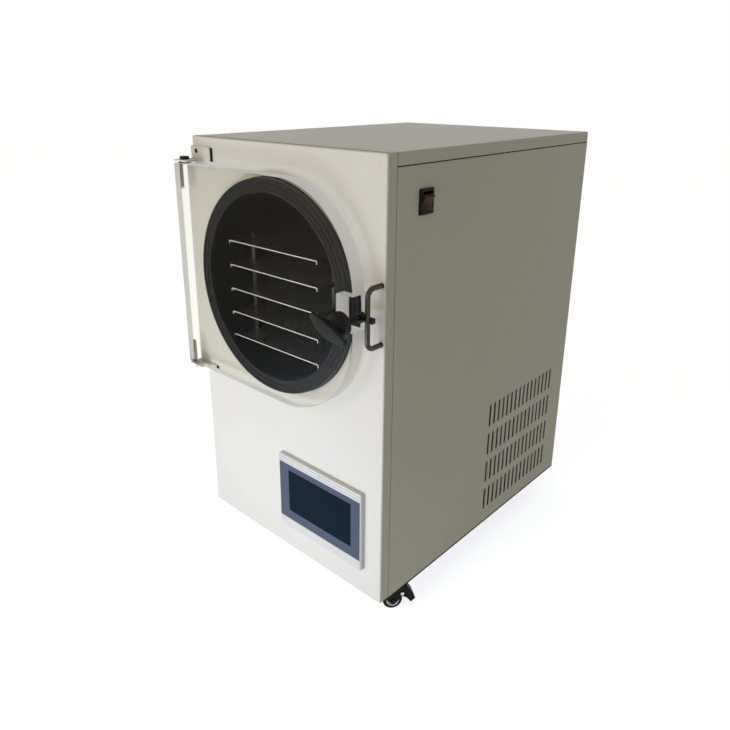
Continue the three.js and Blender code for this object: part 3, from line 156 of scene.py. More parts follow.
# ----------------------------------------
# Paint. Powder coat baked on folded steel: a warm light grey with a faint orange peel and a body
# colour that is never quite even. Other materials take the same grained surface.
def effect_group(name, inputs, outputs):
    """An empty shader node group with named inputs and outputs."""
    group = bpy.data.node_groups.new(name, "ShaderNodeTree")
    for label, kind, value in inputs:
        socket = group.interface.new_socket(label, in_out="INPUT", socket_type=kind)
        socket.default_value = value
    for label, kind in outputs:
        group.interface.new_socket(label, in_out="OUTPUT", socket_type=kind)
    return group, group.nodes.new("NodeGroupInput"), group.nodes.new("NodeGroupOutput")


surface, surface_in, surface_out = effect_group(
    "grained_surface",
    [
        ("Colour", "NodeSocketColor", (0.8, 0.8, 0.8, 1)),
        ("Unevenness", "NodeSocketFloat", 0.04),
        ("Smoothest", "NodeSocketFloat", 0.4),
        ("Roughest", "NodeSocketFloat", 0.5),
        ("Grain Scale", "NodeSocketFloat", 900.0),
        ("Grain Depth", "NodeSocketFloat", 0.1),
    ],
    [("Colour", "NodeSocketColor"), ("Roughness", "NodeSocketFloat"), ("Normal", "NodeSocketVector")],
)
given = surface_in.outputs
spot = surface.nodes.new("ShaderNodeTexCoord").outputs["Object"]
broad = add_node(surface, "ShaderNodeTexNoise", {"Vector": spot, "Scale": 5, "Detail": 3})
grain_inputs = {"Vector": spot, "Scale": given["Grain Scale"], "Detail": 2}
grain = add_node(surface, "ShaderNodeTexNoise", grain_inputs)
darkest = add_node(surface, "ShaderNodeMath", {0: 1, 1: given["Unevenness"]}, operation="SUBTRACT")
shade = add_node(surface, "ShaderNodeMapRange", {"Value": broad, "To Min": darkest, "To Max": 1})
shaded = {0: given["Colour"], "Scale": shade}
shaded_colour = add_node(surface, "ShaderNodeVectorMath", shaded, "Vector", "SCALE")
gloss_range = {"Value": grain, "To Min": given["Smoothest"], "To Max": given["Roughest"]}
gloss = add_node(surface, "ShaderNodeMapRange", gloss_range)
peel_inputs = {"Distance": 0.4 * MM, "Strength": given["Grain Depth"], "Height": grain}
peel = add_node(surface, "ShaderNodeBump", peel_inputs)
for label, result in (("Colour", shaded_colour), ("Roughness", gloss), ("Normal", peel)):
    surface.links.new(result, surface_out.inputs[label])


def grained(name, colour, uneven, smooth, rough, scale, depth, metallic=0.0, specular=0.5):
    """A material with the grained surface. Its colour is uneven by a share, its roughness runs from
    smooth to rough, and its grain has a scale and a depth."""
    material = bpy.data.materials.new(name)
    material.use_nodes = True
    tree = material.node_tree
    shader = tree.nodes["Principled BSDF"]
    shader.inputs["Metallic"].default_value = metallic
    shader.inputs["Specular IOR Level"].default_value = specular
    effect = tree.nodes.new("ShaderNodeGroup")
    effect.node_tree = surface
    values = (colour + (1,), uneven, smooth, rough, scale, depth)
    for socket, value in zip(effect.inputs, values):
        socket.default_value = value
    tree.links.new(effect.outputs["Colour"], shader.inputs["Base Color"])
    tree.links.new(effect.outputs["Roughness"], shader.inputs["Roughness"])
    tree.links.new(effect.outputs["Normal"], shader.inputs["Normal"])
    return material


cabinet_paint = grained("cabinet_paint", (0.74, 0.725, 0.67), 0.04, 0.38, 0.48, 1100, 0.12, specular=0.12)


# ----------------------------------------
# Front panel. One steel sheet folded back on all four edges, with the chamber's round opening, the
# operator screen's cut-out, two holes for the latch rod and a rolled groove along the top.
SHEET = 2 * MM
BEND = 3 * MM
FIT = 0.3 * MM
OPENING_GAP = 1.5 * MM
GROOVE_WIDE = 6.5 * MM
GROOVE_DEEP = 1 * MM
GROOVE_SET = 0.5 * MM
THROUGH = 10 * MM
seal_low, seal_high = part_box("door_seal")
chamber_axis = Vector(((seal_low.x + seal_high.x) / 2, 0, (seal_low.z + seal_high.z) / 2))
seal_radius = (seal_high.x - seal_low.x) / 2
opening_radius = seal_radius + OPENING_GAP


def add_box(bm, low, high):
    """A box between two corners."""
    low, high = Vector(low), Vector(high)
    made = bmesh.ops.create_cube(bm, size=1)
    bmesh.ops.scale(bm, vec=high - low, verts=made["verts"])
    bmesh.ops.translate(bm, vec=(low + high) / 2, verts=made["verts"])


AIM = {
    "x": Matrix.Rotation(pi / 2, 3, "Y"),
    "y": Matrix.Rotation(-pi / 2, 3, "X"),
    "z": Matrix.Identity(3),
}


def add_drum(bm, axis, radius, start, end, centre, segments):
    """A round bar along an axis through a centre."""
    made = bmesh.ops.create_cone(
        bm, cap_ends=True, segments=segments, radius1=radius, radius2=radius, depth=end - start
    )
    bmesh.ops.rotate(bm, cent=(0, 0, 0), matrix=AIM[axis], verts=made["verts"])
    shift = Vector(centre)
    shift["xyz".index(axis)] = (start + end) / 2
    bmesh.ops.translate(bm, vec=shift, verts=made["verts"])


def round_edges(bm, edges, radius, segments):
    """Bevels edges to a radius."""
    bmesh.ops.bevel(
        bm, geom=list(edges), offset=radius, offset_type="OFFSET", segments=segments, profile=0.5,
        affect="EDGES", material=-1, clamp_overlap=True,
    )


def sharp_edges(bm, angle=50):
    """Edges where two faces meet at more than an angle."""
    return [e for e in bm.edges if len(e.link_faces) == 2 and e.calc_face_angle(0) > radians(angle)]


def make_object(name, bm, material):
    """An object at the origin from a bmesh, which is used up."""
    mesh = bpy.data.meshes.new(name)
    bmesh.ops.recalc_face_normals(bm, faces=bm.faces)
    bm.to_mesh(mesh)
    bm.free()
    mesh.materials.append(material)
    made = bpy.data.objects.new(name, mesh)
    scene.collection.objects.link(made)
    return made


def settle(piece):
    """Turns a piece and its modifiers into one plain mesh."""
    evaluated = piece.evaluated_get(bpy.context.evaluated_depsgraph_get())
    mesh = bpy.data.meshes.new_from_object(evaluated)
    piece.modifiers.clear()
    piece.data = mesh


def combine(piece, tool_mesh, operation="DIFFERENCE"):
    """Cuts a piece with a bmesh, or joins the two."""
    tool = make_object("tool", tool_mesh, piece.data.materials[0])
    change = piece.modifiers.new("combine", "BOOLEAN")
    change.operation = operation
    change.solver = "EXACT"
    change.object = tool
    settle(piece)
    bpy.data.objects.remove(tool)


def combine_box(piece, low, high, operation="DIFFERENCE"):
    """Cuts a box out of a piece, or joins one to it."""
    tool_mesh = bmesh.new()
    add_box(tool_mesh, low, high)
    combine(piece, tool_mesh, operation)


def dress(piece, body, slot, *nodes, sharp=35, flat=False):
    """Shades a piece and sets what it rides on and the solids that it stands for; its slot is not used."""
    piece.data.polygons.foreach_set("use_smooth", [True] * len(piece.data.polygons))
    piece.data.set_sharp_from_angle(angle=radians(sharp))
    if flat:
        piece.modifiers.new("flat_faces", "WEIGHTED_NORMAL").keep_sharp = True
    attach(piece, body)
    if nodes:
        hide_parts(*nodes)


def folded_sheet(name, box, face, sheet, bend, material):
    """A sheet folded back on its four edges; face is the direction that its face looks."""
    bm = bmesh.new()
    add_box(bm, *box)
    face = Vector(face)
    open_side = [f for f in bm.faces if f.normal.dot(face) < -0.9]
    bmesh.ops.delete(bm, geom=open_side, context="FACES_ONLY")
    front = next(f for f in bm.faces if f.normal.dot(face) > 0.9)
    folds = set(front.edges)
    corners = [e for e in bm.edges if len(e.link_faces) == 2 and e not in folds]
    round_edges(bm, [*folds, *corners], bend, 5)
    made = make_object(name, bm, material)
    wall = made.modifiers.new("wall", "SOLIDIFY")
    wall.thickness = sheet
    wall.offset = -1
    wall.use_even_offset = True
    settle(made)
    return made


front_panel = folded_sheet("front_sheet", (panel_low, panel_high), (0, -1, 0), SHEET, BEND, cabinet_paint)
opening = bmesh.new()
front_y = (panel_low.y - THROUGH, panel_low.y + THROUGH)
add_drum(opening, "y", opening_radius, *front_y, chamber_axis, 160)
combine(front_panel, opening)
body_low, body_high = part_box("screen_body")
combine_box(front_panel, (body_low.x, front_y[0], body_low.z), (body_high.x, front_y[1], body_high.z))
rod_low, rod_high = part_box("latch_rod")
rod_x = (rod_low.x + rod_high.x) / 2
rod_radius = (rod_high.x - rod_low.x) / 2
rod_holes = bmesh.new()
for leg_z in (rod_low.z + rod_radius, rod_high.z - rod_radius):
    add_drum(rod_holes, "y", rod_radius + FIT, *front_y, (rod_x, 0, leg_z), 32)
combine(front_panel, rod_holes)
groove_y = panel_low.y + BEND + GROOVE_SET
groove_x = (panel_low.x + BEND, panel_high.x - BEND)
combine_box(
    front_panel,
    (groove_x[0], groove_y, panel_high.z - GROOVE_DEEP),
    (groove_x[1], groove_y + GROOVE_WIDE, panel_high.z + THROUGH),
)
dress(front_panel, "cabinet", "front_paint", "front_panel", flat=True)


# ----------------------------------------
# Side panels and lid. Folded sheets of thinner steel; each side has four rows of punched slots with
# round ends over the refrigeration set, and the right one a cut-out for the rocker switch.
SIDE_SHEET = 1.5 * MM
SIDE_BEND = 1.5 * MM
SLOT_WIDTH = 7 * MM
SLOT_LENGTH = 46.5 * MM
SLOT_PITCH = 15.4 * MM
SLOT_ROW_PITCH = 60.5 * MM
SLOT_ROWS = 4
SLOT_COLUMNS = 16
VENT_REAR = 54.4 * MM
VENT_BASE = 28.8 * MM
SWITCH_LEDGE = 2.2 * MM
LID_SEAM = 1.3 * MM


def draw_out(bm, faces, shift):
    """Extrudes faces along a straight line."""
    made = bmesh.ops.extrude_face_region(bm, geom=faces)
    end = [v for v in made["geom"] if isinstance(v, bmesh.types.BMVert)]
    bmesh.ops.translate(bm, vec=shift, verts=end)


def add_slot(bm, x, y, z):
    """A bar across X in the shape of one slot, whose upper half is pulled up from a circle."""
    segments = 16
    made = bmesh.ops.create_circle(
        bm, cap_ends=True, segments=segments, radius=SLOT_WIDTH / 2 / cos(pi / segments)
    )
    upright = Matrix.Rotation(pi / 2, 3, "Y") @ Matrix.Rotation(pi / segments, 3, "Z")
    bmesh.ops.rotate(bm, cent=(0, 0, 0), matrix=upright, verts=made["verts"])
    upper = [v for v in made["verts"] if v.co.z > 0]
    bmesh.ops.translate(bm, vec=(0, 0, SLOT_LENGTH - SLOT_WIDTH), verts=upper)
    base = Vector((x - THROUGH, y, z + SLOT_WIDTH / 2))
    bmesh.ops.translate(bm, vec=base, verts=made["verts"])
    draw_out(bm, list(made["verts"][0].link_faces), (2 * THROUGH, 0, 0))


for hand, side in (("right", 1), ("left", -1)):
    node = f"{hand}_side_panel"
    low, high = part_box(node)
    side_panel = folded_sheet(
        f"{hand}_side_sheet", (low, high), (side, 0, 0), SIDE_SHEET, SIDE_BEND, cabinet_paint
    )
    face_x = high.x if side > 0 else low.x
    slots = bmesh.new()
    for row in range(SLOT_ROWS):
        for column in range(SLOT_COLUMNS):
            add_slot(
                slots,
                face_x,
                high.y - VENT_REAR - SLOT_WIDTH / 2 - column * SLOT_PITCH,
                low.z + VENT_BASE + row * SLOT_ROW_PITCH,
            )
    combine(side_panel, slots)
    if side > 0:
        switch_low, switch_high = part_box("switch_frame")
        combine_box(
            side_panel,
            (face_x - THROUGH / 2, switch_low.y + SWITCH_LEDGE, switch_low.z + SWITCH_LEDGE),
            (face_x + THROUGH / 2, switch_high.y - SWITCH_LEDGE, switch_high.z - SWITCH_LEDGE),
        )
    dress(side_panel, "cabinet", "side_paint", node, flat=True)

lid_low, lid_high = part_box("top_cover")
lid_box = (lid_low + Vector((0, 0, LID_SEAM)), lid_high)
lid = folded_sheet("lid_sheet", lid_box, (0, 0, 1), SIDE_SHEET, BEND, cabinet_paint)
dress(lid, "cabinet", "side_paint", "top_cover", flat=True)


# ----------------------------------------
# Seams. Foam strip, cut to length and stuck between the front panel and the rest of the cabinet,
# made near black so that it paints the seam's shade; black strips along the lid's and the side
# panels' edges, under the side panels and in the top groove are painted shade in those gaps.
STRIP_DEEP = 12 * MM
STRIP_SET = 0.9 * MM
STRIP_INSET = 1 * MM
TRAY_STRIP_SET = 0.3 * MM
TRAY_STRIP_DEEP = 8 * MM
TRAY_STRIP_TALL = 3.9 * MM
LID_STRIP = (-2 * MM, 3 * MM)
TOP_STRIP_SET = 1.2 * MM
GROOVE_STRIP = (0.35 * MM, 0.95 * MM)
HAIR = 0.05 * MM
# Both strip colours are painted shade: the foam's dark grey and the strips' black darken the seams.
shaded_foam = grained("shaded_foam", (0.05, 0.048, 0.042), 0.15, 0.8, 0.95, 500, 0.2, specular=0.2)
seam_shade_black = grained("seam_shade_black", (0.016, 0.014, 0.012), 0.2, 0.8, 0.95, 500, 0.2, specular=0.15)
foam_shade_strips = bmesh.new()
painted_shade_strips = bmesh.new()
seam_y = (panel_high.y + 2 * HAIR, lid_low.y - 2 * HAIR)
strip_y = (lid_low.y + STRIP_INSET, lid_high.y - STRIP_INSET)
strip_base = panel_low.z + STRIP_INSET
for edge, inwards in ((panel_low.x, 1), (panel_high.x, -1)):
    outer = edge + inwards * STRIP_SET
    span = sorted((outer, outer + inwards * STRIP_DEEP))
    add_box(foam_shade_strips, (span[0], seam_y[0], strip_base), (span[1], seam_y[1], lid_low.z))
    tray_x = sorted((edge + inwards * TRAY_STRIP_SET, edge + inwards * TRAY_STRIP_DEEP))
    tray_base = strip_base - TRAY_STRIP_TALL
    add_box(painted_shade_strips, (tray_x[0], strip_y[0], tray_base), (tray_x[1], strip_y[1], strip_base))
    seam_z = [lid_low.z + side for side in LID_STRIP]
    add_box(painted_shade_strips, (span[0], strip_y[0], seam_z[0]), (span[1], strip_y[1], seam_z[1]))
add_box(
    painted_shade_strips,
    (panel_low.x + STRIP_INSET, seam_y[0], lid_high.z - STRIP_DEEP),
    (panel_high.x - STRIP_INSET, seam_y[1], lid_high.z - TOP_STRIP_SET),
)
add_box(
    painted_shade_strips,
    (groove_x[0] + HAIR, groove_y + HAIR, panel_high.z - GROOVE_STRIP[1]),
    (groove_x[1] - HAIR, groove_y + GROOVE_WIDE - HAIR, panel_high.z - GROOVE_STRIP[0]),
)
# Painted shade in the seams, as foam and black strips.
dress(make_object("foam_seam_shade_strips", foam_shade_strips, shaded_foam), "cabinet", "rubber")
dress(make_object("painted_seam_shade_strips", painted_shade_strips, seam_shade_black), "cabinet", "rubber")


# ----------------------------------------
# Back panel. A flat sheet between the side panels' folds, with holes for the vacuum port and the
# power inlet, held by pan-head screws.
def add_turned(bm, points, axis="z", centre=(0, 0, 0), steps=64):
    """A turned shape from (radius, place along the axis, corner radius); a hollow one is a closed loop."""
    wire = bmesh.new()
    corners = [wire.verts.new((radius, 0, along)) for radius, along, _ in points]
    solid = points[0][0] == 0 and points[-1][0] == 0
    for first, second in zip(corners, corners[1:] + ([] if solid else corners[:1])):
        wire.edges.new((first, second))
    for corner, (_, _, bend) in zip(corners, points):
        if bend:
            bmesh.ops.bevel(
                wire, geom=[corner], offset=bend, segments=4, profile=0.5, affect="VERTICES",
                material=-1,
            )
    bmesh.ops.spin(
        wire, geom=[*wire.verts, *wire.edges], cent=(0, 0, 0), axis=(0, 0, 1), angle=2 * pi,
        steps=steps, use_merge=True,
    )
    bmesh.ops.remove_doubles(wire, verts=wire.verts, dist=1e-6)
    bmesh.ops.rotate(wire, cent=(0, 0, 0), matrix=AIM[axis], verts=wire.verts)
    bmesh.ops.translate(wire, vec=centre, verts=wire.verts)
    bmesh.ops.recalc_face_normals(wire, faces=wire.faces)
    pour(wire, bm)


def pour(source, bm):
    """Moves one bmesh into another."""
    carrier = bpy.data.meshes.new("carrier")
    source.to_mesh(carrier)
    source.free()
    bm.from_mesh(carrier)
    bpy.data.meshes.remove(carrier)


def turned(name, points, material, axis="z", centre=(0, 0, 0), steps=64):
    """An object turned from points."""
    bm = bmesh.new()
    add_turned(bm, points, axis, centre, steps)
    return make_object(name, bm, material)


def add_screw(bm, place, axis, sign, radius=3.4 * MM):
    """A pan head with a cross recess; sign is the way that it looks along its axis."""
    tall = 0.6 * radius
    points = [
        (0, 0, 0),
        (radius, 0, 0),
        (radius, 0.3 * tall, 0.25 * tall),
        (0.6 * radius, 0.9 * tall, 0.1 * radius),
        (0, tall, 0),
    ]
    screw = turned("screw", points, zinc, steps=32)
    arm, half, recess = 0.55 * radius, 0.12 * radius, 0.45 * tall
    upper = [(arm, half), (half, half), (half, arm), (-half, arm), (-half, half), (-arm, half)]
    outline = upper + [(-x, -y) for x, y in upper]
    cross = bmesh.new()
    cross_corners = [cross.verts.new((x, y, recess)) for x, y in outline]
    draw_out(cross, [cross.faces.new(cross_corners)], (0, 0, 2 * tall - recess))
    combine(screw, cross)
    part = bmesh.new()
    part.from_mesh(screw.data)
    bpy.data.objects.remove(screw)
    if sign < 0:
        bmesh.ops.rotate(part, cent=(0, 0, 0), matrix=Matrix.Rotation(pi, 3, "X"), verts=part.verts)
    bmesh.ops.rotate(part, cent=(0, 0, 0), matrix=AIM[axis], verts=part.verts)
    bmesh.ops.translate(part, vec=place, verts=part.verts)
    pour(part, bm)


zinc = grained("zinc", (0.62, 0.62, 0.61), 0.10, 0.28, 0.42, 2500, 0.05, metallic=1.0)
back_low, back_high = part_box("back_panel")
port_low, port_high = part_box("vacuum_port")
inlet_low, inlet_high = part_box("power_inlet")
port_radius = (port_high.x - port_low.x) / 2
PORT_GAP = 0.5 * MM
INLET_LEDGE = 2.6 * MM
SCREW_INSET = 9 * MM
SCREWS_A_SIDE = 4
back_mesh = bmesh.new()
add_box(back_mesh, back_low, back_high)
back_panel = make_object("back_sheet", back_mesh, cabinet_paint)
back_y = (back_low.y - THROUGH, back_high.y + THROUGH)
port_hole = bmesh.new()
add_drum(port_hole, "y", port_radius + PORT_GAP, *back_y, chamber_axis, 64)
combine(back_panel, port_hole)
inlet_half = (inlet_high.z - inlet_low.z) / 2
inlet_middle = (inlet_low.x + inlet_high.x) / 2
combine_box(
    back_panel,
    (inlet_middle - inlet_half, back_y[0], inlet_low.z + INLET_LEDGE),
    (inlet_middle + inlet_half, back_y[1], inlet_high.z - INLET_LEDGE),
)
dress(back_panel, "cabinet", "side_paint", "back_panel", flat=True)

screws = bmesh.new()
screw_pitch = (back_high.z - back_low.z - 2 * SCREW_INSET) / (SCREWS_A_SIDE - 1)
for x in (back_low.x + SCREW_INSET, back_high.x - SCREW_INSET):
    for step in range(SCREWS_A_SIDE):
        z = back_low.z + SCREW_INSET + step * screw_pitch
        add_screw(screws, (x, back_high.y, z), "y", 1)
dress(make_object("back_screws", screws, zinc), "cabinet", "galvanised")


# ----------------------------------------
# Tray, deck and cradles. A black folded tray closes the cabinet below; the deck and two saddles of
# galvanised sheet carry the chamber above the refrigeration set.
galvanised = grained("galvanised", (0.42, 0.43, 0.44), 0.25, 0.35, 0.55, 60, 0.02, metallic=0.9)


def finish_node(material, *nodes):
    """Gives kept solids their material."""
    for node in nodes:
        slots = frame["nodes"][node].data.materials
        slots.clear()
        slots.append(material)


finish_node(galvanised, "mid_deck", "cradle_front", "cradle_rear", "condenser_coil")
tray_black = grained("tray_black", (0.012, 0.012, 0.012), 0.1, 0.5, 0.6, 900, 0.08, specular=0.2)
finish_node(tray_black, "base_tray")


# ----------------------------------------
# Chamber. A rolled stainless vessel with a turned front ring, a mounting flange and a welded back;
# foam insulation and the evaporator's copper tube are wrapped round it, and a tube from its back
# takes the vacuum hose.
# The chamber's and the rack's steel is painted near black: painted shade and painted dark reflections for
# the inside of the chamber.
steel = grained("steel_darkened_as_shade", (0.055, 0.058, 0.057), 0.06, 0.28, 0.42, 400, 0.05, metallic=1.0)
vessel_low, vessel_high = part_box("chamber_vessel")
WALL = 3 * MM
BORE = 155 * MM
BACK_BEND = 6 * MM
BACK_HOLE = 12.5 * MM
flange_radius = (vessel_high.x - vessel_low.x) / 2
flange_y = panel_low.y + SHEET + FIT
rear = vessel_high.y
vessel_profile = [
    (BORE, vessel_low.y, 0.8 * MM),
    (seal_radius, vessel_low.y, 0.6 * MM),
    (seal_radius, flange_y, 0),
    (flange_radius, flange_y, 0),
    (flange_radius, flange_y + WALL, 0),
    (BORE + WALL, flange_y + WALL, 0),
    (BORE + WALL, rear, BACK_BEND),
    (BACK_HOLE, rear, 0),
    (BACK_HOLE, rear - WALL, 0),
    (BORE, rear - WALL, BACK_BEND),
]
vessel = turned("vessel", vessel_profile, steel, "y", chamber_axis, 128)
dress(vessel, "cabinet", "stainless", "chamber_vessel")

foam = grained("foam", (0.03, 0.03, 0.032), 0.3, 0.85, 0.98, 300, 0.5)
finish_node(foam, "insulation_jacket")
copper = grained("copper", (0.62, 0.30, 0.17), 0.2, 0.25, 0.45, 120, 0.02, metallic=1.0)
finish_node(copper, "evaporator_coil")

polished = grained("polished_steel", (0.66, 0.66, 0.65), 0.05, 0.14, 0.24, 500, 0.03, metallic=1.0)
PORT_BORE = 10 * MM
PORT_TUBE = 12.2 * MM
PORT_LEDGE = 13 * MM
PORT_FLANGE = 4 * MM
COLLAR_LONG = 14 * MM
COLLAR_PROUD = 4 * MM
weld_y = rear + FIT
collar_y = back_high.y + COLLAR_PROUD
hose_y = port_high.y
port_profile = [
    (PORT_BORE, port_low.y, 0.4 * MM),
    (PORT_TUBE, port_low.y, 0.4 * MM),
    (PORT_TUBE, weld_y, 0),
    (port_radius, weld_y, 0.5 * MM),
    (port_radius, weld_y + PORT_FLANGE, 0.5 * MM),
    (PORT_TUBE, weld_y + PORT_FLANGE, 0),
    (PORT_TUBE, collar_y - COLLAR_LONG, 0),
    (port_radius, collar_y - COLLAR_LONG, 0.5 * MM),
    (port_radius, collar_y, 1 * MM),
    (PORT_TUBE, collar_y, 1 * MM),
    (PORT_TUBE, hose_y - 2 * PORT_FLANGE, 1.5 * MM),
    (port_radius, hose_y - PORT_FLANGE, 0.5 * MM),
    (port_radius, hose_y, 0.5 * MM),
    (PORT_LEDGE, hose_y, 0.2 * MM),
    (PORT_LEDGE, hose_y - 1 * MM, 0.2 * MM),
    (PORT_BORE, hose_y - 1 * MM, 0.3 * MM),
]
port = turned("hose_port", port_profile, polished, "y", chamber_axis)
dress(port, "cabinet", "stainless", "vacuum_port")


# ----------------------------------------
# Door seal. A flat black silicone ring on the chamber's front ring; two shallow grooves in its face
# leave three lips, which the door presses on.
rubber = grained("rubber", (0.014, 0.015, 0.016), 0.05, 0.45, 0.55, 300, 0.02, specular=0.1)
SEAL_BORE = 154.5 * MM
SEAL_GROOVES = (160 * MM, 168 * MM)
SEAL_GROOVE_WIDE = 3.5 * MM
SEAL_GROOVE_DEEP = 1 * MM
face_y = seal_low.y
groove_floor = face_y + SEAL_GROOVE_DEEP
seal_profile = [(SEAL_BORE, seal_high.y, 0), (SEAL_BORE, face_y + 0.5 * MM, 0)]
seal_profile += [(SEAL_BORE + 1 * MM, face_y, 0)]
for start in SEAL_GROOVES:
    for radius, along in (
        (start, face_y),
        (start, groove_floor),
        (start + SEAL_GROOVE_WIDE, groove_floor),
        (start + SEAL_GROOVE_WIDE, face_y),
    ):
        seal_profile.append((radius, along, 0.4 * MM))
seal_profile += [(seal_radius, face_y, 1 * MM), (seal_radius, seal_high.y, 0)]
seal = turned("seal_ring", seal_profile, rubber, "y", chamber_axis, 128)
dress(seal, "cabinet", "rubber", "door_seal")


# ----------------------------------------
# Shelves and rack. Each shelf is a stainless sheet with its sides turned down, threaded on four
# studs; spacers on the studs hold the shelves apart, and two rails carry the rack in the chamber.
POST_RADIUS = 3 * MM
SPACER_RADIUS = 5 * MM
POST_ASIDE = 97 * MM
POST_INSET = 46 * MM
SHELF_SHEET = 1.5 * MM
SHELF_BEND = 2 * MM
RAIL_THICK = 5 * MM
RAIL_WIDTH = 12 * MM
CROSSBAR_SET = 0.5 * MM
shelf_steel = grained("shelf_steel", (0.62, 0.62, 0.61), 0.05, 0.22, 0.34, 600, 0.06, metallic=1.0)
shelf_tops = []
for number in range(1, 6):
    low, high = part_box(f"shelf_{number}")
    shelf_tops.append(high.z)
    tray = bmesh.new()
    add_box(tray, low, high)
    ends = [f for f in tray.faces if abs(f.normal.y) > 0.9 or f.normal.z < -0.9]
    bmesh.ops.delete(tray, geom=ends, context="FACES")
    round_edges(tray, [e for e in tray.edges if len(e.link_faces) == 2], SHELF_BEND, 4)
    shelf = make_object(f"shelf_sheet_{number}", tray, shelf_steel)
    wall = shelf.modifiers.new("wall", "SOLIDIFY")
    wall.thickness = SHELF_SHEET
    wall.offset = -1
    settle(shelf)
    middle_x = (low.x + high.x) / 2
    rail_places = (middle_x - POST_ASIDE, middle_x + POST_ASIDE)
    bar_places = (low.y + POST_INSET, high.y - POST_INSET)
    post_places = [(x, y, 0) for x in rail_places for y in bar_places]
    holes = bmesh.new()
    for post_place in post_places:
        add_drum(holes, "z", POST_RADIUS + FIT, low.z - THROUGH, high.z + THROUGH, post_place, 24)
    combine(shelf, holes)
    dress(shelf, "cabinet", "stainless", f"shelf_{number}", flat=True)

rack_low, rack_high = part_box("shelf_rack")
rack = bmesh.new()
rail_top = rack_low.z + RAIL_THICK
half = RAIL_WIDTH / 2
for x in rail_places:
    add_box(rack, (x - half, rack_low.y, rack_low.z), (x + half, rack_high.y, rail_top))
round_edges(rack, rack.edges, 0.8 * MM, 3)
for y in bar_places:
    add_box(
        rack,
        (rail_places[0], y - half, rack_low.z + CROSSBAR_SET),
        (rail_places[1], y + half, rail_top - CROSSBAR_SET),
    )
post = [(0, rail_top, 0), (SPACER_RADIUS, rail_top, 0)]
for top in sorted(shelf_tops):
    under, over = top - SHELF_SHEET - FIT, top + FIT
    post += [(SPACER_RADIUS, under, 0.5 * MM), (POST_RADIUS, under, 0), (POST_RADIUS, over, 0)]
    if top < max(shelf_tops):
        post += [(SPACER_RADIUS, over, 0.5 * MM)]
post += [(POST_RADIUS, rack_high.z, 0.8 * MM), (0, rack_high.z, 0)]
for post_place in post_places:
    add_turned(rack, post, "z", post_place, 24)
# The rack takes the same near-black steel, painted shade inside the chamber.
dress(make_object("rack_rails_and_posts", rack, steel), "cabinet", "stainless", "shelf_rack")


# ----------------------------------------
# Door. One plate of cast acrylic, polished on its faces and milled on its edges: square on the
# hinge side, round on the latch side, notched for the bolt and bored for the hinge pins.
DOOR_CORNER = 157 * MM
NOTCH_HEIGHT = 54.5 * MM
NOTCH_RISE = 4.4 * MM
NOTCH_DEPTH = 32.5 * MM
NOTCH_CORNER = 2 * MM
PIN_RADIUS = 4 * MM
PIN_REACH = 40 * MM
PIN_END_GAP = 3 * MM
EDGE_ROUND = 1.2 * MM


def centre_of(node):
    """The middle of a solid's box."""
    low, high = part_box(node)
    return (low + high) / 2


def clear_plastic(name, first, second, share, shadow):
    """Mixes two shaders, by node type and values; lamps and other surfaces shine straight through."""
    material = bpy.data.materials.new(name)
    material.use_nodes = True
    tree = material.node_tree
    tree.nodes.remove(tree.nodes["Principled BSDF"])
    mixed = {0: share, 1: add_node(tree, *first), 2: add_node(tree, *second)}
    mixed = add_node(tree, "ShaderNodeMixShader", mixed)
    path = tree.nodes.new("ShaderNodeLightPath").outputs
    lighting = either(tree, path["Is Shadow Ray"], path["Is Diffuse Ray"])
    unshaded = add_node(tree, "ShaderNodeBsdfTransparent", {"Color": shadow})
    shown = add_node(tree, "ShaderNodeMixShader", {0: lighting, 1: mixed, 2: unshaded})
    tree.links.new(shown, tree.nodes["Material Output"].inputs["Surface"])
    return material


acrylic = clear_plastic(
    "acrylic",
    ("ShaderNodeBsdfRefraction", {"Color": (0.965, 0.96, 0.93, 1), "Roughness": 0, "IOR": 1.49}),
    ("ShaderNodeBsdfAnisotropic", {"Color": (1, 1, 1, 1), "Roughness": 0.3}),
    0.005,
    (0.95, 0.95, 0.94, 1),
)
milled = clear_plastic(
    "milled_edge",
    ("ShaderNodeBsdfPrincipled", {"Base Color": (0.86, 0.855, 0.83, 1), "Roughness": 0.32}),
    ("ShaderNodeBsdfTranslucent", {"Color": (0.84, 0.835, 0.80, 1)}),
    0.55,
    (0.62, 0.62, 0.60, 1),
)
door_low, door_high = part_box("door")
pin_place = (centre_of("hinge_pin_upper").x, centre_of("door").y, 0)
plate = bmesh.new()
add_box(plate, door_low, door_high)
latch_corners = [
    e for e in plate.edges
    if all(abs(v.co.x - door_high.x) < 1e-6 for v in e.verts)
    and abs(e.verts[0].co.z - e.verts[1].co.z) < 1e-6
]
round_edges(plate, latch_corners, DOOR_CORNER, 48)
round_edges(plate, sharp_edges(plate), EDGE_ROUND, 2)
door = make_object("door_plate", plate, acrylic)
notch = bmesh.new()
notch_z = chamber_axis.z + NOTCH_RISE
add_box(
    notch,
    (door_high.x - NOTCH_DEPTH, door_low.y - THROUGH, notch_z - NOTCH_HEIGHT / 2),
    (door_high.x + THROUGH, door_high.y + THROUGH, notch_z + NOTCH_HEIGHT / 2),
)
inner_edges = [e for e in notch.edges if abs(e.verts[0].co.y - e.verts[1].co.y) > THROUGH]
round_edges(notch, inner_edges, NOTCH_CORNER, 6)
combine(door, notch)
pin_holes = bmesh.new()
pin_bore = PIN_RADIUS + FIT
hole_deep = PIN_REACH + PIN_END_GAP
add_drum(pin_holes, "z", pin_bore, door_high.z - hole_deep, door_high.z + THROUGH, pin_place, 32)
add_drum(pin_holes, "z", pin_bore, door_low.z - THROUGH, door_low.z + hole_deep, pin_place, 32)
combine(door, pin_holes)
door.data.materials.append(milled)
for face in door.data.polygons:
    face.material_index = 1 if abs(face.normal.y) < 0.6 else 0
dress(door, "door", "acrylic", "door", flat=True)
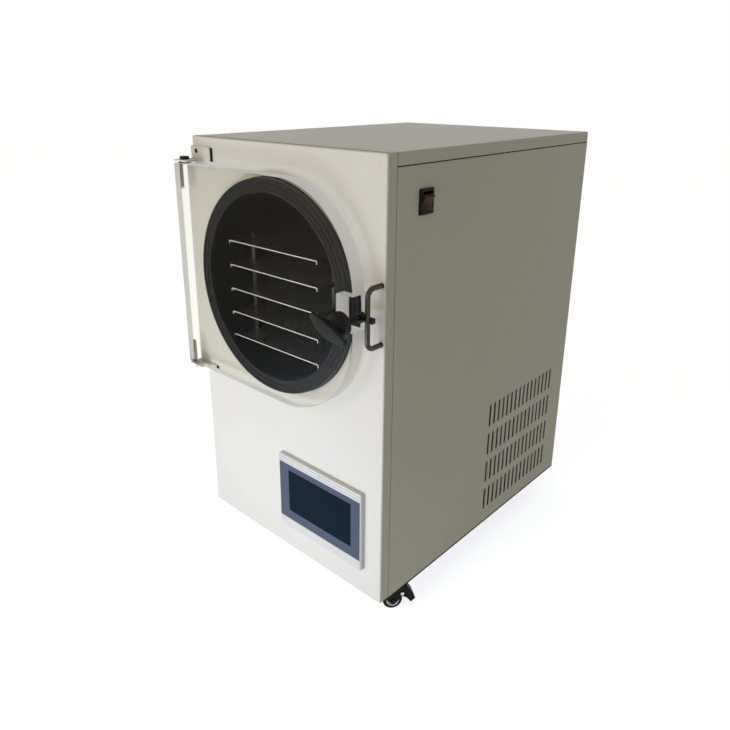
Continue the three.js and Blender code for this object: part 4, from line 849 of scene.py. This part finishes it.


# ----------------------------------------
# Hinges. Two bent steel brackets screwed to the front panel; a black strip beside each plate's
# edge paints the plate's shadow, and a black disc under a black screw paints the shade in each
# screw hole. A cap screw goes through each ear and a nylon washer into the door's edge.
BRACKET_SHEET = 3 * MM
EAR_WIDTH = 36 * MM
EAR_CORNER = 5 * MM
EAR_CUT = 3 * MM
BRACKET_CORNER = 6 * MM
SCREW_HOLE = 4.2 * MM
SCREW_ASIDE = 2 * MM
SCREW_RAISE = 3.6 * MM
SCREW_SUNK = 1 * MM
SCREW_HEAD = 1.8 * MM
SCREW_OFF = 1.7 * MM
# The black strip beside each bracket is painted shadow; these are its sizes.
EDGE_SHADE_WIDE = 3.4 * MM
EDGE_SHADE_DEEP = 2.6 * MM
EDGE_SHADE_SHORT = 1.5 * MM
HEAD_RADIUS = 8 * MM
HEAD_TALL = 5 * MM
SOCKET_RADIUS = 3.5 * MM
SOCKET_DEEP = 3 * MM
WASHER_PROUD = 1.6 * MM
black_steel = grained("black_steel", (0.010, 0.010, 0.009), 0.2, 0.3, 0.45, 900, 0.06, specular=0.15)
pin_grey = grained("pin_grey", (0.22, 0.21, 0.18), 0.1, 0.35, 0.5, 900, 0.05)
nylon = grained("nylon", (0.01, 0.01, 0.01), 0.1, 0.45, 0.6, 900, 0.05, specular=0.12)
hole_and_edge_shade = bmesh.new()
fixing_screws = bmesh.new()
for level, up in (("upper", 1), ("lower", -1)):
    node = f"hinge_bracket_{level}"
    low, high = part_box(node)
    ear_z, far_z = (low.z, high.z) if up > 0 else (high.z, low.z)
    bracket_mesh = bmesh.new()
    add_box(bracket_mesh, (low.x, high.y - BRACKET_SHEET, low.z), high)
    corner = [
        e for e in bracket_mesh.edges
        if all(abs(v.co.x - high.x) < 1e-6 and abs(v.co.z - far_z) < 1e-6 for v in e.verts)
    ]
    round_edges(bracket_mesh, corner, BRACKET_CORNER, 8)
    bracket = make_object(f"bracket_{level}", bracket_mesh, cabinet_paint)
    ear = bmesh.new()
    ear_faces = sorted((ear_z, ear_z + up * BRACKET_SHEET))
    ear_end = Vector((low.x + EAR_WIDTH, low.y + EAR_CUT, 0))
    add_box(ear, (low.x, ear_end.y, ear_faces[0]), (ear_end.x, high.y, ear_faces[1]))
    ear_corner = [
        e for e in ear.edges
        if all(abs(v.co.x - ear_end.x) < 1e-6 and abs(v.co.y - ear_end.y) < 1e-6 for v in e.verts)
    ]
    round_edges(ear, ear_corner, EAR_CORNER, 6)
    combine(bracket, ear, "UNION")
    bores = bmesh.new()
    add_drum(bores, "z", pin_bore, low.z - THROUGH, high.z + THROUGH, pin_place, 32)
    screw_x = pin_place[0] + SCREW_ASIDE
    screw_z = (low.z + high.z) / 2 + up * SCREW_RAISE
    screw_place = (screw_x, 0, screw_z)
    add_drum(bores, "y", SCREW_HOLE, low.y - THROUGH, high.y + THROUGH, screw_place, 32)
    seat_y = high.y - SCREW_SUNK
    # A black disc at the bottom of the screw hole paints the hole's shade.
    add_drum(hole_and_edge_shade, "y", SCREW_HOLE - HAIR, seat_y, high.y - 2 * HAIR, screw_place, 32)
    # A black strip beside the plate's edge paints the plate's shadow.
    edge_shade_z = sorted((ear_z, far_z - up * EDGE_SHADE_SHORT))
    add_box(
        hole_and_edge_shade,
        (high.x + HAIR, high.y - EDGE_SHADE_DEEP, edge_shade_z[0]),
        (high.x + EDGE_SHADE_WIDE, high.y, edge_shade_z[1]),
    )
    add_screw(fixing_screws, (screw_x - SCREW_OFF, seat_y, screw_z), "y", -1, SCREW_HEAD)
    combine(bracket, bores)
    shaped = bmesh.new()
    shaped.from_mesh(bracket.data)
    bmesh.ops.remove_doubles(shaped, verts=shaped.verts, dist=1e-6)
    round_edges(shaped, sharp_edges(shaped, 60), 0.35 * MM, 2)
    shaped.to_mesh(bracket.data)
    shaped.free()
    dress(bracket, "cabinet", "front_paint", node, flat=True)

    node = f"hinge_pin_{level}"
    low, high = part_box(node)
    tip, top = (low.z, high.z) if up > 0 else (high.z, low.z)
    under = top - up * HEAD_TALL
    head = [(0, under, 0), (HEAD_RADIUS, under, 0.3 * MM), (HEAD_RADIUS, top, 0.9 * MM), (0, top, 0)]
    pin = turned(f"hinge_screw_{level}", head, black_steel, "z", pin_place, 48)
    socket = bmesh.new()
    add_drum(socket, "z", SOCKET_RADIUS, top - SOCKET_DEEP, top + SOCKET_DEEP, pin_place, 6)
    combine(pin, socket)
    dress(pin, "door", "black_enamel", node)
    neck = under - up * HAIR
    shank = [(0, tip, 0), (PIN_RADIUS, tip, 0.6 * MM), (PIN_RADIUS, neck, 0), (0, neck, 0)]
    shank = turned(f"hinge_shank_{level}", shank, pin_grey, "z", pin_place, 32)
    dress(shank, "door", "galvanised", node)

    node = f"hinge_washer_{level}"
    low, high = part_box(node)
    rim = (high.x - low.x) / 2 + WASHER_PROUD
    ring = [(pin_bore, low.z, 0.2 * MM), (rim, low.z, 0.5 * MM)]
    ring += [(rim, high.z, 0.5 * MM), (pin_bore, high.z, 0.2 * MM)]
    washer = turned(f"washer_{level}", ring, nylon, "z", pin_place, 48)
    dress(washer, "door", "black_plastic", node)
# The black discs and strips are painted shade at the brackets.
dress(make_object("bracket_painted_shade", hole_and_edge_shade, nylon), "cabinet", "black_plastic")
dress(make_object("bracket_screws", fixing_screws, black_steel), "cabinet", "black_enamel")


# ----------------------------------------
# Latch. A bent steel rod on the front panel carries a bolt that hooks behind it; the bolt swings
# into the door's notch and a moulded T-knob is screwed down on it against the door.
ROD_BEND = 12 * MM
dark_metal = grained("dark_metal", (0.052, 0.046, 0.036), 0.2, 0.2, 0.32, 800, 0.05, metallic=0.85)
joints = {joint["name"]: joint for joint in frame["joints"]}


def pivot(name):
    """The point that a joint turns about."""
    return Vector(joints[name]["pos_m"])


rod = bmesh.new()
foot = bmesh.ops.create_circle(rod, cap_ends=True, segments=24, radius=rod_radius)["verts"]
bmesh.ops.rotate(rod, cent=(0, 0, 0), matrix=AIM["y"], verts=foot)
leg_low, leg_high = rod_low.z + rod_radius, rod_high.z - rod_radius
bend_y = rod_low.y + rod_radius + ROD_BEND
leg = rod_high.y - bend_y
bmesh.ops.translate(rod, vec=(rod_x, rod_high.y, leg_low), verts=foot)


def pull(bm, edges, shift):
    """Pulls an open ring of edges along a straight line and returns its new end."""
    made = bmesh.ops.extrude_edge_only(bm, edges=edges)
    moved = [v for v in made["geom"] if isinstance(v, bmesh.types.BMVert)]
    bmesh.ops.translate(bm, vec=shift, verts=moved)
    new_edges = [e for e in made["geom"] if isinstance(e, bmesh.types.BMEdge)]
    return [e for e in new_edges if all(v in moved for v in e.verts)]


def swing(bm, edges, centre, angle):
    """Pulls an open ring of edges round a bend across X and returns its new end."""
    made = bmesh.ops.spin(bm, geom=edges, cent=centre, axis=(1, 0, 0), angle=angle, steps=10)
    return [e for e in made["geom_last"] if isinstance(e, bmesh.types.BMEdge)]


end = pull(rod, list(rod.edges), (0, -leg, 0))
end = swing(rod, end, (rod_x, bend_y, leg_low + ROD_BEND), -pi / 2)
end = pull(rod, end, (0, 0, leg_high - leg_low - 2 * ROD_BEND))
end = swing(rod, end, (rod_x, bend_y, leg_high - ROD_BEND), -pi / 2)
end = pull(rod, end, (0, leg, 0))
bmesh.ops.edgenet_fill(rod, edges=end)
dress(make_object("rod", rod, dark_metal), "cabinet", "dark_metal", "latch_rod")

bolt_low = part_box("latch_bolt")[0]
rod_axis = pivot("latch_swing")
bolt_axis = pivot("knob_turn")
HOOK_THICK = 5 * MM
HOOK_LIP = 3 * MM
HOOK_TIP = 1 * MM
HOOK_HIGH = 8 * MM
BOSS_RADIUS = 8 * MM
BOSS_LONG = 9 * MM
BOSS_BEHIND = 1 * MM
BOLT_RADIUS = 5 * MM
THREAD_PITCH = 1.5 * MM
THREAD_DEEP = 0.55 * MM
PLAIN_SHANK = 6 * MM
hook_near = rod_radius + FIT
hook_far = hook_near + HOOK_THICK
lip_x = rod_axis.x + hook_near
hook_outline = [
    (bolt_axis.x, hook_near),
    (lip_x, hook_near),
    (lip_x, HOOK_TIP),
    (lip_x + HOOK_LIP, HOOK_TIP),
    (lip_x + HOOK_LIP, hook_far),
    (bolt_axis.x, hook_far),
]
hook = bmesh.new()
hook_base = bolt_axis.z - HOOK_HIGH / 2
hook_corners = [hook.verts.new((x, rod_axis.y + y, hook_base)) for x, y in hook_outline]
draw_out(hook, [hook.faces.new(hook_corners)], (0, 0, HOOK_HIGH))
bmesh.ops.recalc_face_normals(hook, faces=hook.faces)
round_edges(hook, sharp_edges(hook), 0.7 * MM, 3)
swing_bolt = make_object("swing_bolt", hook, black_steel)
boss = bmesh.new()
boss_back = rod_axis.y + hook_far + BOSS_BEHIND
boss_front = boss_back - BOSS_LONG
boss_profile = [(0, boss_front, 0), (BOSS_RADIUS, boss_front, 0.8 * MM)]
boss_profile += [(BOSS_RADIUS, boss_back, 0.8 * MM), (0, boss_back, 0)]
add_turned(boss, boss_profile, "y", (bolt_axis.x, 0, bolt_axis.z), 48)
combine(swing_bolt, boss, "UNION")
bolt = bmesh.new()
root = BOLT_RADIUS - THREAD_DEEP
bolt_profile = [(0, bolt_low.y, 0), (root, bolt_low.y, 0)]
crest_y = bolt_low.y + THREAD_PITCH
while crest_y < rod_axis.y - PLAIN_SHANK:
    bolt_profile += [(root, crest_y - THREAD_PITCH / 2, 0), (BOLT_RADIUS, crest_y, 0)]
    crest_y += THREAD_PITCH
bolt_end = rod_axis.y + hook_near
bolt_profile += [(BOLT_RADIUS, bolt_end, 0), (0, bolt_end, 0)]
add_turned(bolt, bolt_profile, "y", (bolt_axis.x, 0, bolt_axis.z), 32)
combine(swing_bolt, bolt, "UNION")
dress(swing_bolt, "latch", "dark_metal", "latch_bolt")

knob_low, knob_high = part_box("latch_knob")
WING_LENGTH = 71.5 * MM
WING_MIDDLE = 21 * MM
WING_END = 8 * MM
WING_CROWN = 5 * MM
WING_EDGE = 6 * MM
WING_SWELL = 12 * MM
WING_BACK = 0.8
WING_TILT = 23
HUB_RADIUS = 19.5 * MM
HUB_START = 8 * MM
HUB_SHOULDER = 20.5 * MM
WAIST_RADIUS = 11 * MM
WAIST_DEEP = 13.5 * MM
knob_plastic = grained("knob_plastic", (0.009, 0.009, 0.008), 0.15, 0.36, 0.48, 1400, 0.12, specular=0.12)
wing = bmesh.new()
reach = WING_LENGTH / 2
add_box(wing, (-reach, 0, -WING_MIDDLE / 2), (reach, WING_EDGE, WING_MIDDLE / 2))
long_edges = [e for e in wing.edges if abs(e.verts[0].co.x - e.verts[1].co.x) > reach]
bmesh.ops.subdivide_edges(wing, edges=long_edges, cuts=23, use_grid_fill=True)
for vert in wing.verts:
    share = vert.co.x / reach
    half = (WING_END + (WING_MIDDLE - WING_END) * (1 - share * share)) / 2
    front = vert.co.y < WING_EDGE / 2
    vert.co.z = (half if vert.co.z > 0 else -half) * (1 if front else WING_BACK)
    thick = 0 if front else WING_EDGE + WING_SWELL * (1 - abs(share)) ** 2
    vert.co.y = WING_CROWN * share * share + thick
rims = [e for e in sharp_edges(wing, 40) if abs(e.verts[0].co.z) > 0.1 * MM]
round_edges(wing, rims, 1.3 * MM, 3)
knob = make_object("knob", wing, knob_plastic)
knob_deep = knob_high.y - knob_low.y
hub_profile = [
    (0, HUB_START, 0),
    (WAIST_RADIUS - 1.5 * MM, HUB_START, 0),
    (WAIST_RADIUS - 0.5 * MM, WAIST_DEEP, 3 * MM),
    (HUB_RADIUS, HUB_SHOULDER, 2 * MM),
    (HUB_RADIUS, knob_deep, 1 * MM),
    (0, knob_deep, 0),
]
hub = bmesh.new()
add_turned(hub, hub_profile, "y")
combine(knob, hub, "UNION")
knob_bore = bmesh.new()
bore_start = bolt_low.y - knob_low.y - FIT
add_drum(knob_bore, "y", BOLT_RADIUS + FIT, bore_start, knob_deep + THROUGH, (0, 0, 0), 32)
combine(knob, knob_bore)
knob.data.transform(Matrix.Rotation(radians(WING_TILT), 4, "Y"))
knob.data.transform(Matrix.Translation((bolt_axis.x, knob_low.y, bolt_axis.z)))
dress(knob, "knob", "black_plastic", "latch_knob", sharp=40)


# ----------------------------------------
# Operator screen. A silver-grey moulded frame, clipped in the front panel, holds a dark glass; the
# display shows through its clear middle, and two fine ridges run along the frame's upper bar.
silver = grained("silver_moulding", (0.62, 0.61, 0.60), 0.04, 0.36, 0.48, 1300, 0.10, metallic=0.1)
bezel_tint = grained("bezel_tint", (0.08, 0.10, 0.15), 0.04, 0.2, 0.28, 900, 0.02, specular=0.06)
display_glass = grained("display_glass", (0.004, 0.013, 0.026), 0.1, 0.12, 0.2, 40, 0.0, specular=0.02)
frame_low, frame_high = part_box("screen_frame")
glass_low, glass_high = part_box("screen_glass")
FRAME_BEND = 3 * MM
RIDGE_DROPS = (4.2 * MM, 10.2 * MM)
RIDGE_INSET = 2.3 * MM
RIDGE_WIDE = 1 * MM
RIDGE_DEEP = 0.8 * MM
housing = bmesh.new()
add_box(housing, frame_low, (frame_high.x, panel_low.y - FIT, frame_high.z))
front_edges = [e for e in housing.edges if min(v.co.y for v in e.verts) < frame_low.y + 1e-6]
side_edges = [e for e in housing.edges if abs(e.verts[0].co.y - e.verts[1].co.y) > 1 * MM]
round_edges(housing, set(front_edges) | set(side_edges), FRAME_BEND, 5)
screen = make_object("screen_housing", housing, silver)
combine_box(
    screen,
    (glass_low.x - FIT, frame_low.y - THROUGH, glass_low.z - FIT),
    (glass_high.x + FIT, glass_high.y + FIT, glass_high.z + FIT),
)
ridges = bmesh.new()
for drop in RIDGE_DROPS:
    z = frame_high.z - drop
    add_box(
        ridges,
        (frame_low.x + RIDGE_INSET, frame_low.y - THROUGH, z - RIDGE_WIDE),
        (frame_high.x - RIDGE_INSET, frame_low.y + RIDGE_DEEP, z),
    )
combine(screen, ridges)
dress(screen, "cabinet", "silver_plastic", "screen_frame", flat=True)

DISPLAY_SIDE = 22.4 * MM
DISPLAY_RIGHT = 20.6 * MM
DISPLAY_BASE = 17.5 * MM
DISPLAY_TOP = 11.5 * MM
DISPLAY_SUNK = 0.6 * MM
DISPLAY_FACE = 0.3 * MM
glass = bmesh.new()
add_box(glass, glass_low, glass_high)
front_edges = [e for e in glass.edges if max(v.co.y for v in e.verts) < glass_high.y - 1e-6]
round_edges(glass, front_edges, 0.3 * MM, 2)
bezel = make_object("screen_bezel", glass, bezel_tint)
window_low = (glass_low.x + DISPLAY_SIDE, glass_low.y - THROUGH, glass_low.z + DISPLAY_BASE)
window_high = (glass_high.x - DISPLAY_RIGHT, glass_low.y + DISPLAY_SUNK, glass_high.z - DISPLAY_TOP)
combine_box(bezel, window_low, window_high)
dress(bezel, "cabinet", "display", "screen_glass", flat=True)
pane = bmesh.new()
add_box(
    pane,
    (window_low[0] + HAIR, glass_low.y + DISPLAY_FACE, window_low[2] + HAIR),
    (window_high[0] - HAIR, glass_low.y + DISPLAY_SUNK - 0.4 * HAIR, window_high[2] - HAIR),
)
dress(make_object("display_window", pane, display_glass), "cabinet", "display")


# ----------------------------------------
# Rocker switch. A black moulded frame snapped into the right side panel; the dark red rocker is
# pressed at its lower end, so that its upper end stands out.
SWITCH_RIM = 4.3 * MM
SWITCH_FLOOR = 3 * MM
SWITCH_STEP = 1 * MM
ROCKER_TILT = 12
HALF_ROCKER = [(12.4, 2), (13.6, 6.5), (15.9, 10.6), (13.2, 12.2), (8, 12.6), (-4, 8)]
switch_black = grained("switch_black", (0.009, 0.008, 0.007), 0.1, 0.34, 0.46, 1200, 0.06, specular=0.08)
rocker_red = grained("rocker_red", (0.075, 0.026, 0.021), 0.15, 0.3, 0.4, 700, 0.05, specular=0.07)
case_low, case_high = switch_low, switch_high
side_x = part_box("right_side_panel")[1].x
case = bmesh.new()
add_box(case, (side_x + FIT, case_low.y, case_low.z), case_high)
outer_rim = [e for e in case.edges if max(v.co.x for v in e.verts) > case_high.x - 1e-6]
round_edges(case, outer_rim, 1.6 * MM, 4)
switch_case = make_object("switch_case", case, switch_black)
trim = Vector((0, SWITCH_RIM / 2, SWITCH_RIM / 2))
body_end = Vector((side_x + FIT + SWITCH_STEP, case_high.y, case_high.z))
combine_box(switch_case, case_low + trim, body_end - trim, "UNION")
well_end = case_high + Vector((THROUGH, 0, 0))
combine_box(switch_case, case_low + 2 * trim + Vector((SWITCH_FLOOR, 0, 0)), well_end - 2 * trim)
dress(switch_case, "cabinet", "black_plastic", "switch_frame", flat=True)

rocker_pivot = pivot("switch_rock")
rocker_low, rocker_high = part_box("switch_rocker")
rocker = bmesh.new()
rocker_outline = [(x, -z) for x, z in reversed(HALF_ROCKER)] + HALF_ROCKER
rocker_corners = [rocker.verts.new((x * MM, rocker_low.y, z * MM)) for x, z in rocker_outline]
draw_out(rocker, [rocker.faces.new(rocker_corners)], (0, rocker_high.y - rocker_low.y, 0))
bmesh.ops.recalc_face_normals(rocker, faces=rocker.faces)
round_edges(rocker, sharp_edges(rocker, 40), 0.7 * MM, 3)
red_rocker = make_object("red_rocker", rocker, rocker_red)
red_rocker.data.transform(Matrix.Rotation(radians(ROCKER_TILT), 4, "Y"))
red_rocker.data.transform(Matrix.Translation((rocker_pivot.x, 0, rocker_pivot.z)))
dress(red_rocker, "rocker", "dark_red", "switch_rocker", sharp=30)


# ----------------------------------------
# Castors. Zinc-plated plates with ball races, black pressed forks and black tyres on grey hubs; the
# two front castors have a brake pedal on a rivet.
fork_black = grained("fork_black", (0.007, 0.007, 0.007), 0.2, 0.4, 0.55, 900, 0.08, specular=0.1)
tyre_rubber = grained("tyre_rubber", (0.008, 0.008, 0.007), 0.2, 0.5, 0.7, 600, 0.1, specular=0.08)
hub_grey = grained("hub_grey", (0.72, 0.72, 0.70), 0.08, 0.35, 0.5, 900, 0.06)
TYRE_SHARE = 0.66
TYRE_ROUND = 3 * MM
WHEEL_HALF = 8 * MM
HUB_BORE = 3.3 * MM
HUB_BOSS = 6 * MM
HUB_DISH = 2 * MM
HUB_RIM = 1.5 * MM
RIVET_RADIUS = 3.2 * MM
RIVET_TALL = 1.5 * MM
RIVET_SEAT = 11.1 * MM


def fit_on_axis(piece, joint):
    """Turns a piece from the vertical to a joint's axis and puts it there."""
    turn_to = Vector((0, 0, 1)).rotation_difference(Vector(joint["axis"])).to_matrix().to_4x4()
    piece.data.transform(Matrix.Translation(joint["pos_m"]) @ turn_to)


for corner in ("front_right", "front_left", "rear_right", "rear_left"):
    finish_node(zinc, f"castor_plate_{corner}")
    finish_node(fork_black, f"castor_fork_{corner}")
    if corner.startswith("front"):
        finish_node(fork_black, f"brake_pedal_{corner}")
        rivet = bmesh.new()
        for sign in (1, -1):
            seat = sign * RIVET_SEAT
            end = sign * (RIVET_SEAT + RIVET_TALL)
            profile = [(0, seat, 0), (RIVET_RADIUS, seat, 0), (RIVET_RADIUS, end, 0.6 * MM), (0, end, 0)]
            add_turned(rivet, profile, steps=24)
        pedal_rivet = make_object(f"pedal_rivet_{corner}", rivet, zinc)
        fit_on_axis(pedal_rivet, joints[f"brake_press_{corner}"])
        dress(pedal_rivet, f"pedal_{corner}", "galvanised")
    roll = joints[f"wheel_roll_{corner}"]
    low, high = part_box(f"castor_wheel_{corner}")
    radius = (high.z - low.z) / 2
    inner = TYRE_SHARE * radius
    tyre_profile = [
        (inner, -WHEEL_HALF, 0.4 * MM),
        (radius, -WHEEL_HALF, TYRE_ROUND),
        (radius, WHEEL_HALF, TYRE_ROUND),
        (inner, WHEEL_HALF, 0.4 * MM),
    ]
    tyre = turned(f"tyre_{corner}", tyre_profile, tyre_rubber)
    fit_on_axis(tyre, roll)
    dress(tyre, f"wheel_{corner}", "tyre", f"castor_wheel_{corner}")
    half_hub = [
        (inner - 0.02 * MM, WHEEL_HALF, 0),
        (inner - HUB_RIM, WHEEL_HALF, 0.3 * MM),
        (inner - 2 * MM, WHEEL_HALF - HUB_DISH, 0.5 * MM),
        (HUB_BOSS, WHEEL_HALF - HUB_DISH, 0.5 * MM),
        (HUB_BOSS, WHEEL_HALF, 0.5 * MM),
        (HUB_BORE, WHEEL_HALF, 0.3 * MM),
    ]
    hub_profile = [(radius, -along, bend) for radius, along, bend in reversed(half_hub)] + half_hub
    hub = turned(f"wheel_hub_{corner}", hub_profile, hub_grey)
    fit_on_axis(hub, roll)
    dress(hub, f"wheel_{corner}", "grey_plastic")


# ----------------------------------------
# Refrigeration and electrics. A black compressor, a condenser with its fan in a shroud, a grey
# electrics box on the deck, the screen's closed housing and a mains inlet in the back panel.
enamel = grained("black_enamel", (0.02, 0.02, 0.022), 0.15, 0.22, 0.36, 500, 0.06)
grey_box = grained("grey_box", (0.35, 0.35, 0.34), 0.05, 0.4, 0.52, 900, 0.08)
finish_node(enamel, "compressor", "fan_shroud", "fan_motor", "screen_body")
finish_node(grey_box, "fan_rotor", "control_box")
finish_node(switch_black, "power_inlet")
